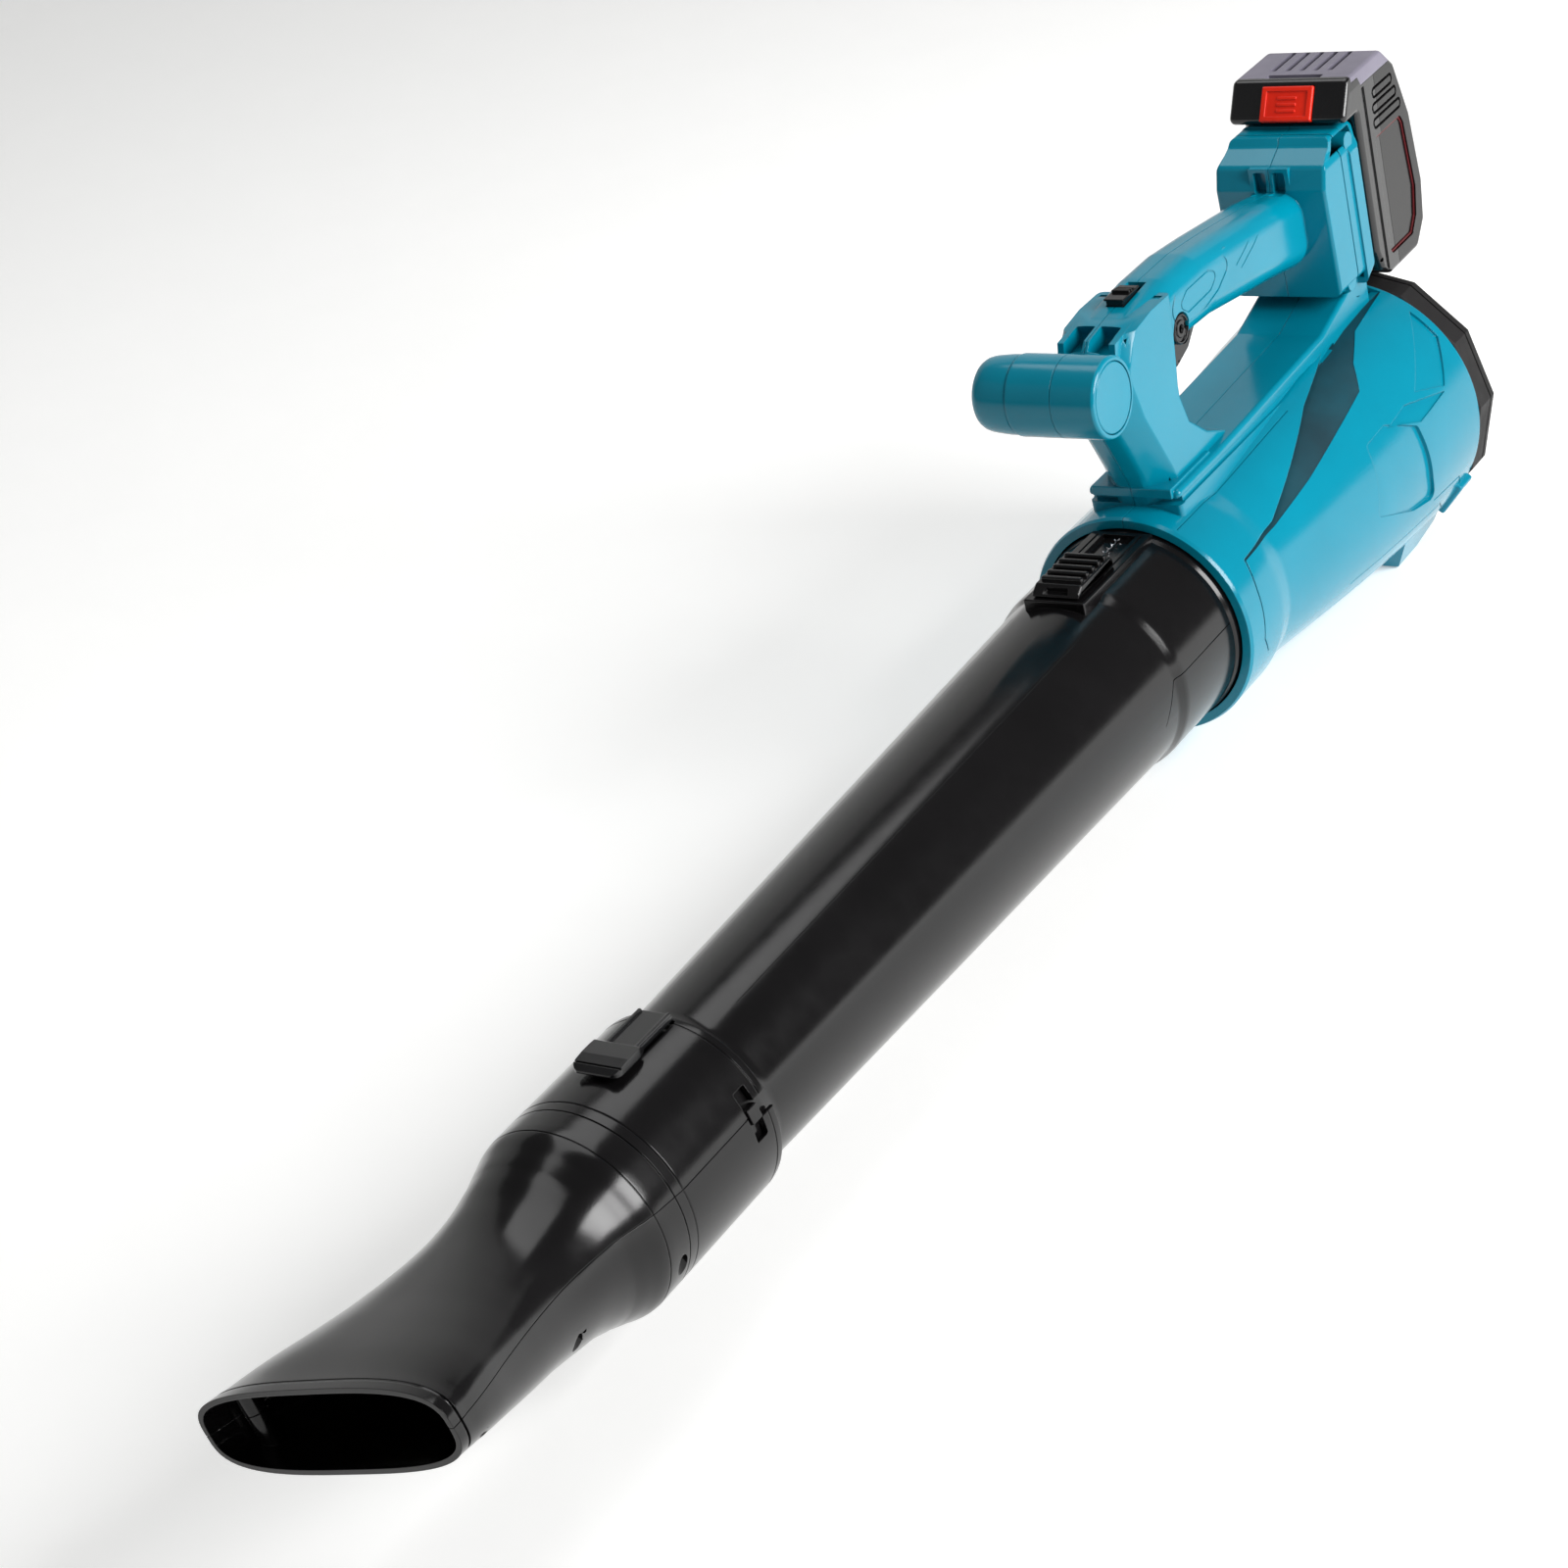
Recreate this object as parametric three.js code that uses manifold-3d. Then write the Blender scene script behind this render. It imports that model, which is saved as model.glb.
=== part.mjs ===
// Cordless leaf blower: clamshell body with a loop handle, slide-on battery, axial fan,
// long tapered tube, coupling sleeve and a flat fishtail nozzle.
// Millimetres. +Z is up, +Y points to the back (battery end), +X is the user's left.
// The parts are drawn around the air axis, with the collar face at y = 0 and the axis at
// z = 0. The outer group then puts the middle of the rest foot at the origin.

import * as THREE from 'three';
import { mergeVertices } from 'three/addons/utils/BufferGeometryUtils.js';
import Module from 'manifold-3d';

const wasm = await Module();
wasm.setup();

// ---------------------------------------------------------------- driving sizes
const GAP = 0.3;                 // clearance between pieces that meet
const ROUND = 32;                // facets round a large circle
const WALL = 2.6;                // moulded housing wall

// air path
const COLLAR_R = 62;             // outside radius of the front collar
const COLLAR_BORE = 55.6;        // radius of the hole that takes the tube
const COLLAR_LENGTH = 34;
const NECK_R = 58.6;             // waist behind the collar
const NECK_Y = 52;
const BODY_R = 75;               // outside radius at the intake end
const BODY_LENGTH = 262;         // collar face to intake end

// rest foot under the body
const AXIS_HEIGHT = 79;          // air axis above the ground
const FOOT_FRONT = 220;
const FOOT_FLAT_BACK = 242;      // behind this the sole rises towards the intake end
const FOOT_RISE = 9;
const FOOT_HALF_WIDTH = 34;
const FOOT_Y = (FOOT_FRONT + FOOT_FLAT_BACK) / 2;

const FLANK_CLOCK = 130;         // clock angle of the raised lips beside the foot

// handle loop
const HANDLE_TOP = 164.5;        // top of the handle above the air axis
const GRIP_HALF_WIDTH = 17.5;
const COLUMN_HALF_WIDTH = 20;
const SADDLE_HALF_WIDTH = 26;
const SHOE_HALF_WIDTH = 33;      // battery shoe at the back of the handle
const SHOE_FRONT = 207;
const SHOE_BACK = 251;
const SHOE_TOP = 173.5;

// side knob
const KNOB_Y = -25;
const KNOB_Z = 140;
const BOSS_R = 20.4;
const BOSS_LEFT = 24;
const BOSS_RIGHT = -25;
const KNOB_R = 18.8;
const KNOB_LENGTH = 23;

// battery
const PACK_HALF_WIDTH = 34;
const PACK_TOP = 196;
const BUTTON_HALF_WIDTH = 15;
const BUTTON_HALF_HEIGHT = 9.5;
const PACK_BOTTOM = 78;
const PACK_BACK = 318;
const PACK_SPLIT = 276;          // joint plane of the two pack shells
const PACK_WALL = 2.4;
const TONGUE_DEPTH = 6;          // rail tongue that the pack slides on
const TONGUE_HALF_WIDTH = 20;
const CONTACT_BACK = SHOE_BACK + TONGUE_DEPTH + 1.9;

// tube
const TUBE_WALL = 2.4;
const SPIGOT_R = COLLAR_BORE - 1;
const SPIGOT_LENGTH = 28;        // how far the tube reaches into the collar
const TUBE_REAR_R = 51.2;
const TUBE_FRONT_R = 41.8;
const TUBE_STEP_Y = -62;
const TUBE_END_Y = -480;

// coupling sleeve and nozzle
const SLEEVE_R = 47.2;
const SLEEVE_WALL = 2.6;
const SLEEVE_FRONT = TUBE_END_Y - 12;
const SLEEVE_BACK = SLEEVE_FRONT + 66;
const NOZZLE_TURN = THREE.MathUtils.degToRad(16);
const NOZZLE_WALL = 2.4;
const NOZZLE_LENGTH = 171;
const MOUTH_Y = SLEEVE_FRONT - NOZZLE_LENGTH;
const MOUTH_HALF_WIDTH = 71.5;
const MOUTH_HALF_HEIGHT = 20;
const MOUTH_RISE = 16;

// fan unit
const DUCT_R = COLLAR_BORE - 8.1;   // inside radius of the fan duct
const DUCT_WALL = 2.5;
const DUCT_FRONT = 36;
const DUCT_BACK = 214;
const HUB_R = 24;
const MOTOR_R = 20;
const MOTOR_FRONT = 100;
const MOTOR_BACK = 164;
const FAN_FRONT = 174;
const FAN_BACK = 200;
const FAN_BLADES = 9;
const STATOR_VANES = 7;
const SHAFT_R = 2.5;

// fasteners
const SCREW_R = 1.8;
const SCREW_HEAD_R = 3.4;
const SCREW_BOSS_R = 5;
const SCREW_REACH = 12;          // half length of a housing screw, head included
const HEAD_DEPTH = 2.6;

// ---------------------------------------------------------------- materials
const finishes = {
  teal: { color: '#0aa5bd', roughness: 0.45, metalness: 0 },
  black: { color: '#17171a', roughness: 0.5, metalness: 0 },
  dark: { color: '#26262a', roughness: 0.7, metalness: 0 },
  red: { color: '#e02a16', roughness: 0.35, metalness: 0 },
  rubber: { color: '#101012', roughness: 0.9, metalness: 0 },
  steel: { color: '#b9bcc2', roughness: 0.3, metalness: 1 },
  brass: { color: '#c9a227', roughness: 0.35, metalness: 1 },
  green: { color: '#1f6b3a', roughness: 0.6, metalness: 0 },
  wire: { color: '#a31515', roughness: 0.6, metalness: 0 },
  cells: { color: '#2d6fb5', roughness: 0.5, metalness: 0 },
};

// ---------------------------------------------------------------- solid helpers
function signedVolume(positions, index) {
  let sum = 0;
  for (let i = 0; i < index.length; i += 3) {
    const [a, b, c] = [index[i] * 3, index[i + 1] * 3, index[i + 2] * 3];
    sum += positions[a] * (positions[b + 1] * positions[c + 2] - positions[b + 2] * positions[c + 1]);
    sum += positions[a + 1] * (positions[b + 2] * positions[c] - positions[b] * positions[c + 2]);
    sum += positions[a + 2] * (positions[b] * positions[c + 1] - positions[b + 1] * positions[c]);
  }
  return sum / 6;
}

function solidOf(geometry) {
  const bare = geometry.clone();
  bare.deleteAttribute('normal');
  bare.deleteAttribute('uv');
  const merged = mergeVertices(bare, 1e-4);
  const positions = merged.attributes.position.array;
  const kept = [];
  const index = merged.index.array;
  for (let i = 0; i < index.length; i += 3) {
    const [a, b, c] = [index[i], index[i + 1], index[i + 2]];
    if (a !== b && b !== c && c !== a) kept.push(a, b, c);
  }
  if (signedVolume(positions, kept) < 0) {
    for (let i = 0; i < kept.length; i += 3) [kept[i], kept[i + 1]] = [kept[i + 1], kept[i]];
  }
  return new wasm.Manifold(new wasm.Mesh({
    numProp: 3,
    vertProperties: new Float32Array(positions),
    triVerts: new Uint32Array(kept),
  }));
}

function geometryOf(solid) {
  const mesh = solid.getMesh();
  const geometry = new THREE.BufferGeometry();
  geometry.setAttribute('position', new THREE.BufferAttribute(new Float32Array(mesh.vertProperties), 3));
  geometry.setIndex(new THREE.BufferAttribute(new Uint32Array(mesh.triVerts), 1));
  return geometry;
}

function union(...solids) {
  return solids.reduce((sum, next) => sum.add(next));
}

function box(x0, x1, y0, y1, z0, z1) {
  const geometry = new THREE.BoxGeometry(x1 - x0, y1 - y0, z1 - z0);
  geometry.translate((x0 + x1) / 2, (y0 + y1) / 2, (z0 + z1) / 2);
  return solidOf(geometry);
}

// Round bar between two points.
function bar(from, to, radius, facets = 16) {
  const start = new THREE.Vector3(...from);
  const end = new THREE.Vector3(...to);
  const geometry = new THREE.CylinderGeometry(radius, radius, start.distanceTo(end), facets);
  const along = end.clone().sub(start).normalize();
  const turn = new THREE.Quaternion().setFromUnitVectors(new THREE.Vector3(0, 1, 0), along);
  geometry.applyQuaternion(turn);
  geometry.translate((from[0] + to[0]) / 2, (from[1] + to[1]) / 2, (from[2] + to[2]) / 2);
  return solidOf(geometry);
}

const crossBar = (y, z, x0, x1, radius, facets = 16) => bar([x0, y, z], [x1, y, z], radius, facets);

// Solid of revolution about the air axis; the profile is [radius, y] pairs round a closed loop.
function turned(profile, facets = ROUND) {
  const points = [...profile, profile[0]].map(([r, y]) => new THREE.Vector2(r, y));
  return solidOf(new THREE.LatheGeometry(points, facets));
}

// Pulls a closed outline inwards by a wall thickness.
function inset(outline, distance) {
  const count = outline.length;
  let area = 0;
  outline.forEach(([y, z], i) => {
    const [y2, z2] = outline[(i + 1) % count];
    area += y * z2 - y2 * z;
  });
  const side = Math.sign(area);
  return outline.map((point, i) => {
    const before = outline[(i + count - 1) % count];
    const after = outline[(i + 1) % count];
    const into = new THREE.Vector2(point[0] - before[0], point[1] - before[1]).normalize();
    const out = new THREE.Vector2(after[0] - point[0], after[1] - point[1]).normalize();
    const normals = [into, out].map((v) => new THREE.Vector2(-v.y * side, v.x * side));
    const miter = normals[0].clone().add(normals[1]);
    miter.multiplyScalar(2 * distance / miter.lengthSq());
    return [point[0] + miter.x, point[1] + miter.y];
  });
}

// Side outline in (y, z), as wide as the two x values, with rounded long edges.
function sidePlate(outline, x0, x1, round = 0) {
  const shape = new THREE.Shape(outline.map(([y, z]) => new THREE.Vector2(y, z)));
  const geometry = new THREE.ExtrudeGeometry(shape, {
    depth: x1 - x0 - 2 * round,
    bevelEnabled: round > 0,
    bevelThickness: round,
    bevelSize: round,
    bevelOffset: -round,
    bevelSegments: 2,
    curveSegments: 6,
  });
  geometry.translate(0, 0, x0 + round);
  geometry.applyMatrix4(new THREE.Matrix4().makeBasis(
    new THREE.Vector3(0, 1, 0), new THREE.Vector3(0, 0, 1), new THREE.Vector3(1, 0, 0)));
  return solidOf(geometry);
}

const wideSide = (outline, halfWidth, round) => sidePlate(outline, -halfWidth, halfWidth, round);

// Skin through rings that all have the same number of points.
function loft(rings) {
  const count = rings[0].length;
  const positions = [];
  const index = [];
  rings.forEach((ring) => ring.forEach((p) => positions.push(p.x, p.y, p.z)));
  for (let r = 0; r + 1 < rings.length; r += 1) {
    for (let i = 0; i < count; i += 1) {
      const j = (i + 1) % count;
      const [a, b] = [r * count, (r + 1) * count];
      index.push(a + i, a + j, b + j, a + i, b + j, b + i);
    }
  }
  const last = (rings.length - 1) * count;
  for (let i = 1; i + 1 < count; i += 1) {
    index.push(0, i + 1, i);
    index.push(last, last + i, last + i + 1);
  }
  const geometry = new THREE.BufferGeometry();
  geometry.setAttribute('position', new THREE.Float32BufferAttribute(positions, 3));
  geometry.setIndex(index);
  return solidOf(geometry);
}

// Wire or tube along hand-picked points.
function wire(points, radius, steps, facets = 8) {
  const path = new THREE.CatmullRomCurve3(points.map((p) => new THREE.Vector3(...p)));
  const section = new THREE.Shape();
  section.absarc(0, 0, radius, 0, 2 * Math.PI);
  return solidOf(new THREE.ExtrudeGeometry(section, {
    steps, bevelEnabled: false, extrudePath: path, curveSegments: facets / 2,
  }));
}

// Coil spring of round wire standing on `base`, along the unit vector `up`.
function coilSpring(base, up, height, radius, wireRadius, turns) {
  class Helix extends THREE.Curve {
    getPoint(t) {
      const angle = 2 * Math.PI * turns * t;
      return new THREE.Vector3(radius * Math.cos(angle), height * t, radius * Math.sin(angle));
    }
  }
  const section = new THREE.Shape();
  section.absarc(0, 0, wireRadius, 0, 2 * Math.PI);
  const geometry = new THREE.ExtrudeGeometry(section, {
    steps: turns * 8, bevelEnabled: false, extrudePath: new Helix(), curveSegments: 2,
  });
  const turn = new THREE.Quaternion();
  turn.setFromUnitVectors(new THREE.Vector3(0, 1, 0), new THREE.Vector3(...up));
  geometry.applyQuaternion(turn);
  geometry.translate(...base);
  return solidOf(geometry);
}

// ---------------------------------------------------------------- outlines of the body
const columnOutline = [
  [15, 50], [14, 72], [-6, 112], [-14, 138], [-2, HANDLE_TOP - 7], [20, HANDLE_TOP - 3.5],
  [52, HANDLE_TOP - 0.8], [48, 128], [45, 108], [50, 92], [66, 79], [90, 70], [90, 50],
];

const gripOutline = [
  [-2, HANDLE_TOP - 7], [20, HANDLE_TOP - 3.5], [60, HANDLE_TOP], [90, HANDLE_TOP],
  [120, HANDLE_TOP - 3], [180, HANDLE_TOP - 10.5],
  [SHOE_FRONT + 8, HANDLE_TOP - 17], [SHOE_FRONT + 8, 106], [180, 113], [140, 119.5],
  [100, 126], [60, 128], [-4, 134],
];

const saddleOutline = [
  [16, 40], [15, 70], [60, 70], [190, 75], [222, 84], [240, 90], [SHOE_BACK, 90], [SHOE_BACK, 40],
];

const shoeOutline = [
  [SHOE_FRONT + 1, 84], [SHOE_FRONT - 1, 150], [SHOE_FRONT + 3, 162], [SHOE_FRONT + 15, 168],
  [SHOE_FRONT + 19, SHOE_TOP], [SHOE_BACK, SHOE_TOP], [SHOE_BACK, 90], [SHOE_FRONT + 23, 80],
];

const bodyOutside = [
  [COLLAR_R - 1, 0], [COLLAR_R, 2], [COLLAR_R, COLLAR_LENGTH], [NECK_R, NECK_Y - 4],
  [NECK_R, NECK_Y], [66, 120], [72, 184], [BODY_R, 240], [BODY_R, BODY_LENGTH],
];

const bodyInside = [
  [COLLAR_BORE, -1], [COLLAR_BORE, NECK_Y], [66 - WALL, 120], [72 - WALL, 184],
  [BODY_R - WALL, 240], [BODY_R - WALL, BODY_LENGTH + 1],
];

// Where the two halves are screwed together, as [y, z, half width of the body there].
const screwPlaces = [
  [38, 84, COLUMN_HALF_WIDTH], [6, 134, COLUMN_HALF_WIDTH], [44, 150.5, COLUMN_HALF_WIDTH],
  [118, 151, GRIP_HALF_WIDTH], [176, 130, GRIP_HALF_WIDTH], [241, 164, SHOE_HALF_WIDTH],
  [222, 92, SHOE_HALF_WIDTH], [FOOT_FRONT + 5, -71, FOOT_HALF_WIDTH], [FOOT_FRONT + 29, -69, FOOT_HALF_WIDTH],
];

// ---------------------------------------------------------------- housing
// Raised lip low on the flank, at a clock angle from the top, just ahead of the intake ring.
function flankLip(clock) {
  const lip = new THREE.BoxGeometry(22, 16, 12);
  lip.translate(0, BODY_LENGTH - 8, BODY_R - 3.4);
  lip.rotateY(THREE.MathUtils.degToRad(clock));
  return solidOf(lip);
}

function bodyBlock() {
  const footSection = [
    [-FOOT_HALF_WIDTH, -AXIS_HEIGHT], [FOOT_HALF_WIDTH, -AXIS_HEIGHT],
    [FOOT_HALF_WIDTH + 11, -AXIS_HEIGHT + 20], [FOOT_HALF_WIDTH + 11, -45],
    [-FOOT_HALF_WIDTH - 11, -45], [-FOOT_HALF_WIDTH - 11, -AXIS_HEIGHT + 20],
  ];
  const footBlock = new THREE.ExtrudeGeometry(
    new THREE.Shape(footSection.map(([x, z]) => new THREE.Vector2(x, z))),
    { depth: BODY_LENGTH - FOOT_FRONT, bevelEnabled: false });
  footBlock.applyMatrix4(new THREE.Matrix4().makeBasis(
    new THREE.Vector3(1, 0, 0), new THREE.Vector3(0, 0, 1), new THREE.Vector3(0, -1, 0)));
  footBlock.translate(0, BODY_LENGTH, 0);
  const foot = solidOf(footBlock).intersect(wideSide([
    [FOOT_FRONT - 16, -45], [FOOT_FRONT, -AXIS_HEIGHT], [FOOT_FLAT_BACK, -AXIS_HEIGHT],
    [BODY_LENGTH, -AXIS_HEIGHT + FOOT_RISE], [BODY_LENGTH, -45],
  ], 60));
  return union(
    turned([...bodyOutside, [20, BODY_LENGTH], [20, 0]]),
    box(-21, 21, 0, BODY_LENGTH, -21, 21),
    wideSide(columnOutline, COLUMN_HALF_WIDTH, 5),
    wideSide(gripOutline, GRIP_HALF_WIDTH, 8),
    wideSide(saddleOutline, SADDLE_HALF_WIDTH, 4),
    wideSide(shoeOutline, SHOE_HALF_WIDTH, 4),
    crossBar(KNOB_Y, KNOB_Z, BOSS_RIGHT, BOSS_LEFT, BOSS_R, 32),
    box(-TONGUE_HALF_WIDTH, TONGUE_HALF_WIDTH, SHOE_BACK - 2, SHOE_BACK + TONGUE_DEPTH, 98, 166),
    foot,
    flankLip(FLANK_CLOCK),
    flankLip(-FLANK_CLOCK),
  );
}

function bodyHollows() {
  const bore = turned([...bodyInside, [0, BODY_LENGTH + 1], [0, -1]]);
  const gripHollow = wideSide(inset(gripOutline, WALL), GRIP_HALF_WIDTH - WALL, 6);
  const shoeHollow = wideSide(inset(shoeOutline, WALL + 0.4), SHOE_HALF_WIDTH - WALL);
  const columnHollow = wideSide(inset([
    [22, 60], [20, 78], [2, 112], [-2, 140], [4, HANDLE_TOP - 6.5], [20, HANDLE_TOP - 3.5],
    [51, HANDLE_TOP - 1], [48, 128], [45, 108], [50, 92], [58, 84], [58, 60],
  ], WALL), COLUMN_HALF_WIDTH - WALL);
  const saddleHollow = wideSide([[24, 50], [24, 67], [190, 71], [220, 78], [240, 84], [247, 84], [247, 50]],
    SADDLE_HALF_WIDTH - WALL, 2);
  return union(bore, gripHollow, shoeHollow, columnHollow, saddleHollow);
}

function screwBosses() {
  return union(...screwPlaces.map(([y, z, width]) => crossBar(y, z, 1.5 - width, width - 1.5, SCREW_BOSS_R)));
}

function screwHoles() {
  return union(...screwPlaces.map(([y, z]) => union(
    crossBar(y, z, -SCREW_REACH, SCREW_REACH + 0.4, SCREW_R + GAP, 10),
    crossBar(y, z, -60, HEAD_DEPTH - SCREW_REACH + GAP, SCREW_HEAD_R + GAP, 12),
  )));
}

// Strap eyes: pockets on both sides of a thin web in the middle plane.
function strapPockets() {
  const front = [[-3, 149], [17, 150], [11, HANDLE_TOP - 2], [-8, HANDLE_TOP - 2]];
  return union(
    sidePlate(front, 2, 30), sidePlate(front, -30, -2),
    box(2, 9, SHOE_FRONT - 8, SHOE_FRONT + 5, 148.5, 160),
    box(-9, -2, SHOE_FRONT - 8, SHOE_FRONT + 5, 148.5, 160),
  );
}

const strapWalls = () => wideSide(
  [[-5, 145], [21, 147], [17, HANDLE_TOP - 5], [-2, HANDLE_TOP - 7.5]], 16)
  .add(box(-11.5, 11.5, SHOE_FRONT, SHOE_FRONT + 8, 146, 162));

const triggerWindow = () => box(-8.4, 8.4, 54, 100, 100, 147);
const sliderWindow = () => box(-5.1, 5.1, 30.6, 56, HANDLE_TOP - 6, HANDLE_TOP + 2);
const terminalWindow = () => box(-14.3, 14.3, SHOE_BACK - 6, SHOE_BACK + TONGUE_DEPTH + 1, 108, 146);

function knobBoltHole() {
  return union(
    crossBar(KNOB_Y, KNOB_Z, -70, 14, 3 + GAP),
    crossBar(KNOB_Y, KNOB_Z, 13.6, BOSS_LEFT + 1, 5.5 + GAP),
    crossBar(KNOB_Y, KNOB_Z, BOSS_LEFT - 2, BOSS_LEFT + 1, 17.9, 32),
  );
}

function housing() {
  return bodyBlock().subtract(bodyHollows())
    .add(strapWalls())
    .add(screwBosses())
    .subtract(turned([[0, -2], [COLLAR_BORE, -2], [COLLAR_BORE, NECK_Y], [57, 70], [57, BODY_LENGTH + 2],
      [0, BODY_LENGTH + 2]]))
    .subtract(strapPockets())
    .subtract(triggerWindow())
    .subtract(sliderWindow())
    .subtract(terminalWindow())
    .subtract(knobBoltHole())
    .subtract(screwHoles());
}

// ---------------------------------------------------------------- fan unit
function fanDuct() {
  const skin = turned([
    [DUCT_R + 1.5, DUCT_FRONT], [DUCT_R, 95], [DUCT_R, DUCT_BACK - 12], [DUCT_R + 8, DUCT_BACK],
    [DUCT_R + 8 + DUCT_WALL, DUCT_BACK], [DUCT_R + DUCT_WALL, DUCT_BACK - 10],
    [DUCT_R + DUCT_WALL, 95], [DUCT_R + 1.5 + DUCT_WALL, DUCT_FRONT],
  ]);
  const hub = turned([
    [HUB_R, MOTOR_FRONT - 6], [HUB_R, MOTOR_BACK + 2], [MOTOR_R + GAP, MOTOR_BACK + 2],
    [MOTOR_R + GAP, MOTOR_FRONT - 0.5], [8, MOTOR_FRONT - 0.5], [8, MOTOR_FRONT - 6],
  ], 24);
  const vanes = [];
  for (let i = 0; i < STATOR_VANES; i += 1) {
    const vane = new THREE.BoxGeometry(2, 44, DUCT_R - HUB_R + 3);
    vane.rotateZ(0.3);
    vane.translate(0, 140, (DUCT_R + HUB_R) / 2);
    vane.rotateY(2 * Math.PI * i / STATOR_VANES);
    vanes.push(solidOf(vane));
  }
  const leadHole = bar([0, 132, 19], [0, 132, 60], 3);
  return union(skin, hub, ...vanes).subtract(leadHole);
}

function tailCone() {
  return turned([
    [0, 62], [7, 64], [14, 70], [20, 80], [HUB_R, MOTOR_FRONT - 6.4],
    [HUB_R - 2, MOTOR_FRONT - 6.4], [18, 82], [0, 72],
  ], 24);
}

function motorCan() {
  return turned([
    [MOTOR_R, MOTOR_FRONT], [MOTOR_R, MOTOR_BACK], [7.4, MOTOR_BACK], [7.4, MOTOR_BACK - 6],
    [12, MOTOR_BACK - 6], [12, MOTOR_FRONT + 6], [7.4, MOTOR_FRONT + 6], [7.4, MOTOR_FRONT],
  ], 24);
}

const motorRotor = () => turned([
  [SHAFT_R + GAP, MOTOR_FRONT + 9], [11, MOTOR_FRONT + 9],
  [11, MOTOR_BACK - 9], [SHAFT_R + GAP, MOTOR_BACK - 9],
], 20);
const motorShaft = () => bar([0, MOTOR_FRONT + 0.5, 0], [0, FAN_BACK + 6, 0], SHAFT_R);
const bearing = (y) => turned([[SHAFT_R + GAP, y], [7.1, y], [7.1, y + 5], [SHAFT_R + GAP, y + 5]], 20);

function fanWheel() {
  const hub = turned([
    [SHAFT_R + GAP, FAN_FRONT], [HUB_R - 1, FAN_FRONT], [HUB_R - 1, FAN_BACK - 8],
    [HUB_R - 8, FAN_BACK], [SHAFT_R + GAP, FAN_BACK],
  ], 24);
  const blades = [];
  for (let i = 0; i < FAN_BLADES; i += 1) {
    const blade = new THREE.BoxGeometry(1.8, 26, DUCT_R - HUB_R - 0.6, 1, 1, 3);
    const place = blade.attributes.position;
    for (let v = 0; v < place.count; v += 1) {
      const reach = place.getZ(v) / (DUCT_R - HUB_R) + 0.5;
      const twist = 0.55 + 0.45 * reach;
      const [x, y] = [place.getX(v), place.getY(v)];
      place.setX(v, x * Math.cos(twist) - y * Math.sin(twist));
      place.setY(v, (x * Math.sin(twist) + y * Math.cos(twist)) * 0.9);
    }
    blade.translate(0, (FAN_FRONT + FAN_BACK) / 2 - 1, (DUCT_R + HUB_R) / 2 - 1.6);
    blade.rotateY(2 * Math.PI * i / FAN_BLADES);
    blades.push(solidOf(blade));
  }
  return union(hub, ...blades);
}

const fanNut = () => turned([
  [SHAFT_R + 0.8, FAN_BACK + GAP], [5.5, FAN_BACK + GAP], [5.5, FAN_BACK + 5], [SHAFT_R + 0.8, FAN_BACK + 5],
], 6);

// ---------------------------------------------------------------- intake end
const RING_BACK = BODY_LENGTH + 24;
const RING_BORE = 66;

const intakeRing = () => turned([
  [RING_BORE, BODY_LENGTH + GAP], [BODY_R + 1, BODY_LENGTH + GAP], [BODY_R + 1, RING_BACK - 4],
  [BODY_R - 3, RING_BACK], [RING_BORE, RING_BACK],
], 12);

function intakeGrille() {
  const edge = RING_BORE * Math.cos(Math.PI / 12) - GAP;
  const [front, back] = [BODY_LENGTH + 5, BODY_LENGTH + 8];
  const rings = [edge - 4, 42, 20].map(
    (r) => turned([[r, front], [r + 4, front], [r + 4, back], [r, back]], 24));
  const spokes = [];
  for (let i = 0; i < 4; i += 1) {
    const spoke = new THREE.BoxGeometry(2 * edge - 3, back - front, 2.4);
    spoke.translate(0, (front + back) / 2, 0);
    spoke.rotateY(Math.PI * i / 4);
    spokes.push(solidOf(spoke));
  }
  return union(...rings, ...spokes);
}

// ---------------------------------------------------------------- side knob
function sideKnob() {
  const end = BOSS_RIGHT - KNOB_LENGTH;
  const profile = [
    [3 + GAP, BOSS_RIGHT - GAP], [KNOB_R + 1, BOSS_RIGHT - GAP], [KNOB_R, BOSS_RIGHT - 6],
    [KNOB_R, end + 9], [KNOB_R - 2.5, end + 3], [KNOB_R - 8, end], [0, end], [0, end + 12],
    [3 + GAP, end + 12],
  ].map(([r, x]) => new THREE.Vector2(r, x));
  const geometry = new THREE.LatheGeometry([...profile, profile[0]], 32);
  geometry.rotateZ(-Math.PI / 2);
  geometry.translate(0, KNOB_Y, KNOB_Z);
  return solidOf(geometry);
}

const knobBolt = () => crossBar(KNOB_Y, KNOB_Z, BOSS_RIGHT - KNOB_LENGTH + 14, 14.2, 3)
  .add(crossBar(KNOB_Y, KNOB_Z, 14, BOSS_LEFT - 3, 5.5, 6));
const knobCap = () => crossBar(KNOB_Y, KNOB_Z, BOSS_LEFT - 1.7, BOSS_LEFT, 17.5, 32);

// ---------------------------------------------------------------- controls in the handle
const TRIGGER_PIVOT = [61, 137];

function trigger() {
  const outline = [
    [57, 127], [61, 116], [68, 112.5], [82, 117], [93, 126], [96, 136], [92, 142.5], [60, 142.5], [56.5, 138],
  ];
  return wideSide(outline, 7.6, 2).subtract(crossBar(...TRIGGER_PIVOT, -12, 12, 1.5 + GAP, 12));
}

const triggerPin = () => crossBar(...TRIGGER_PIVOT, -13.5, 13.5, 1.5, 12);
const switchModule = () => box(-10, 10, 62, 104, 147.8, 156.5);
const triggerSpring = () => coilSpring([0, 84, 143.1], [0, 0, 1], 4.2, 2.6, 0.45, 3);

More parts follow.
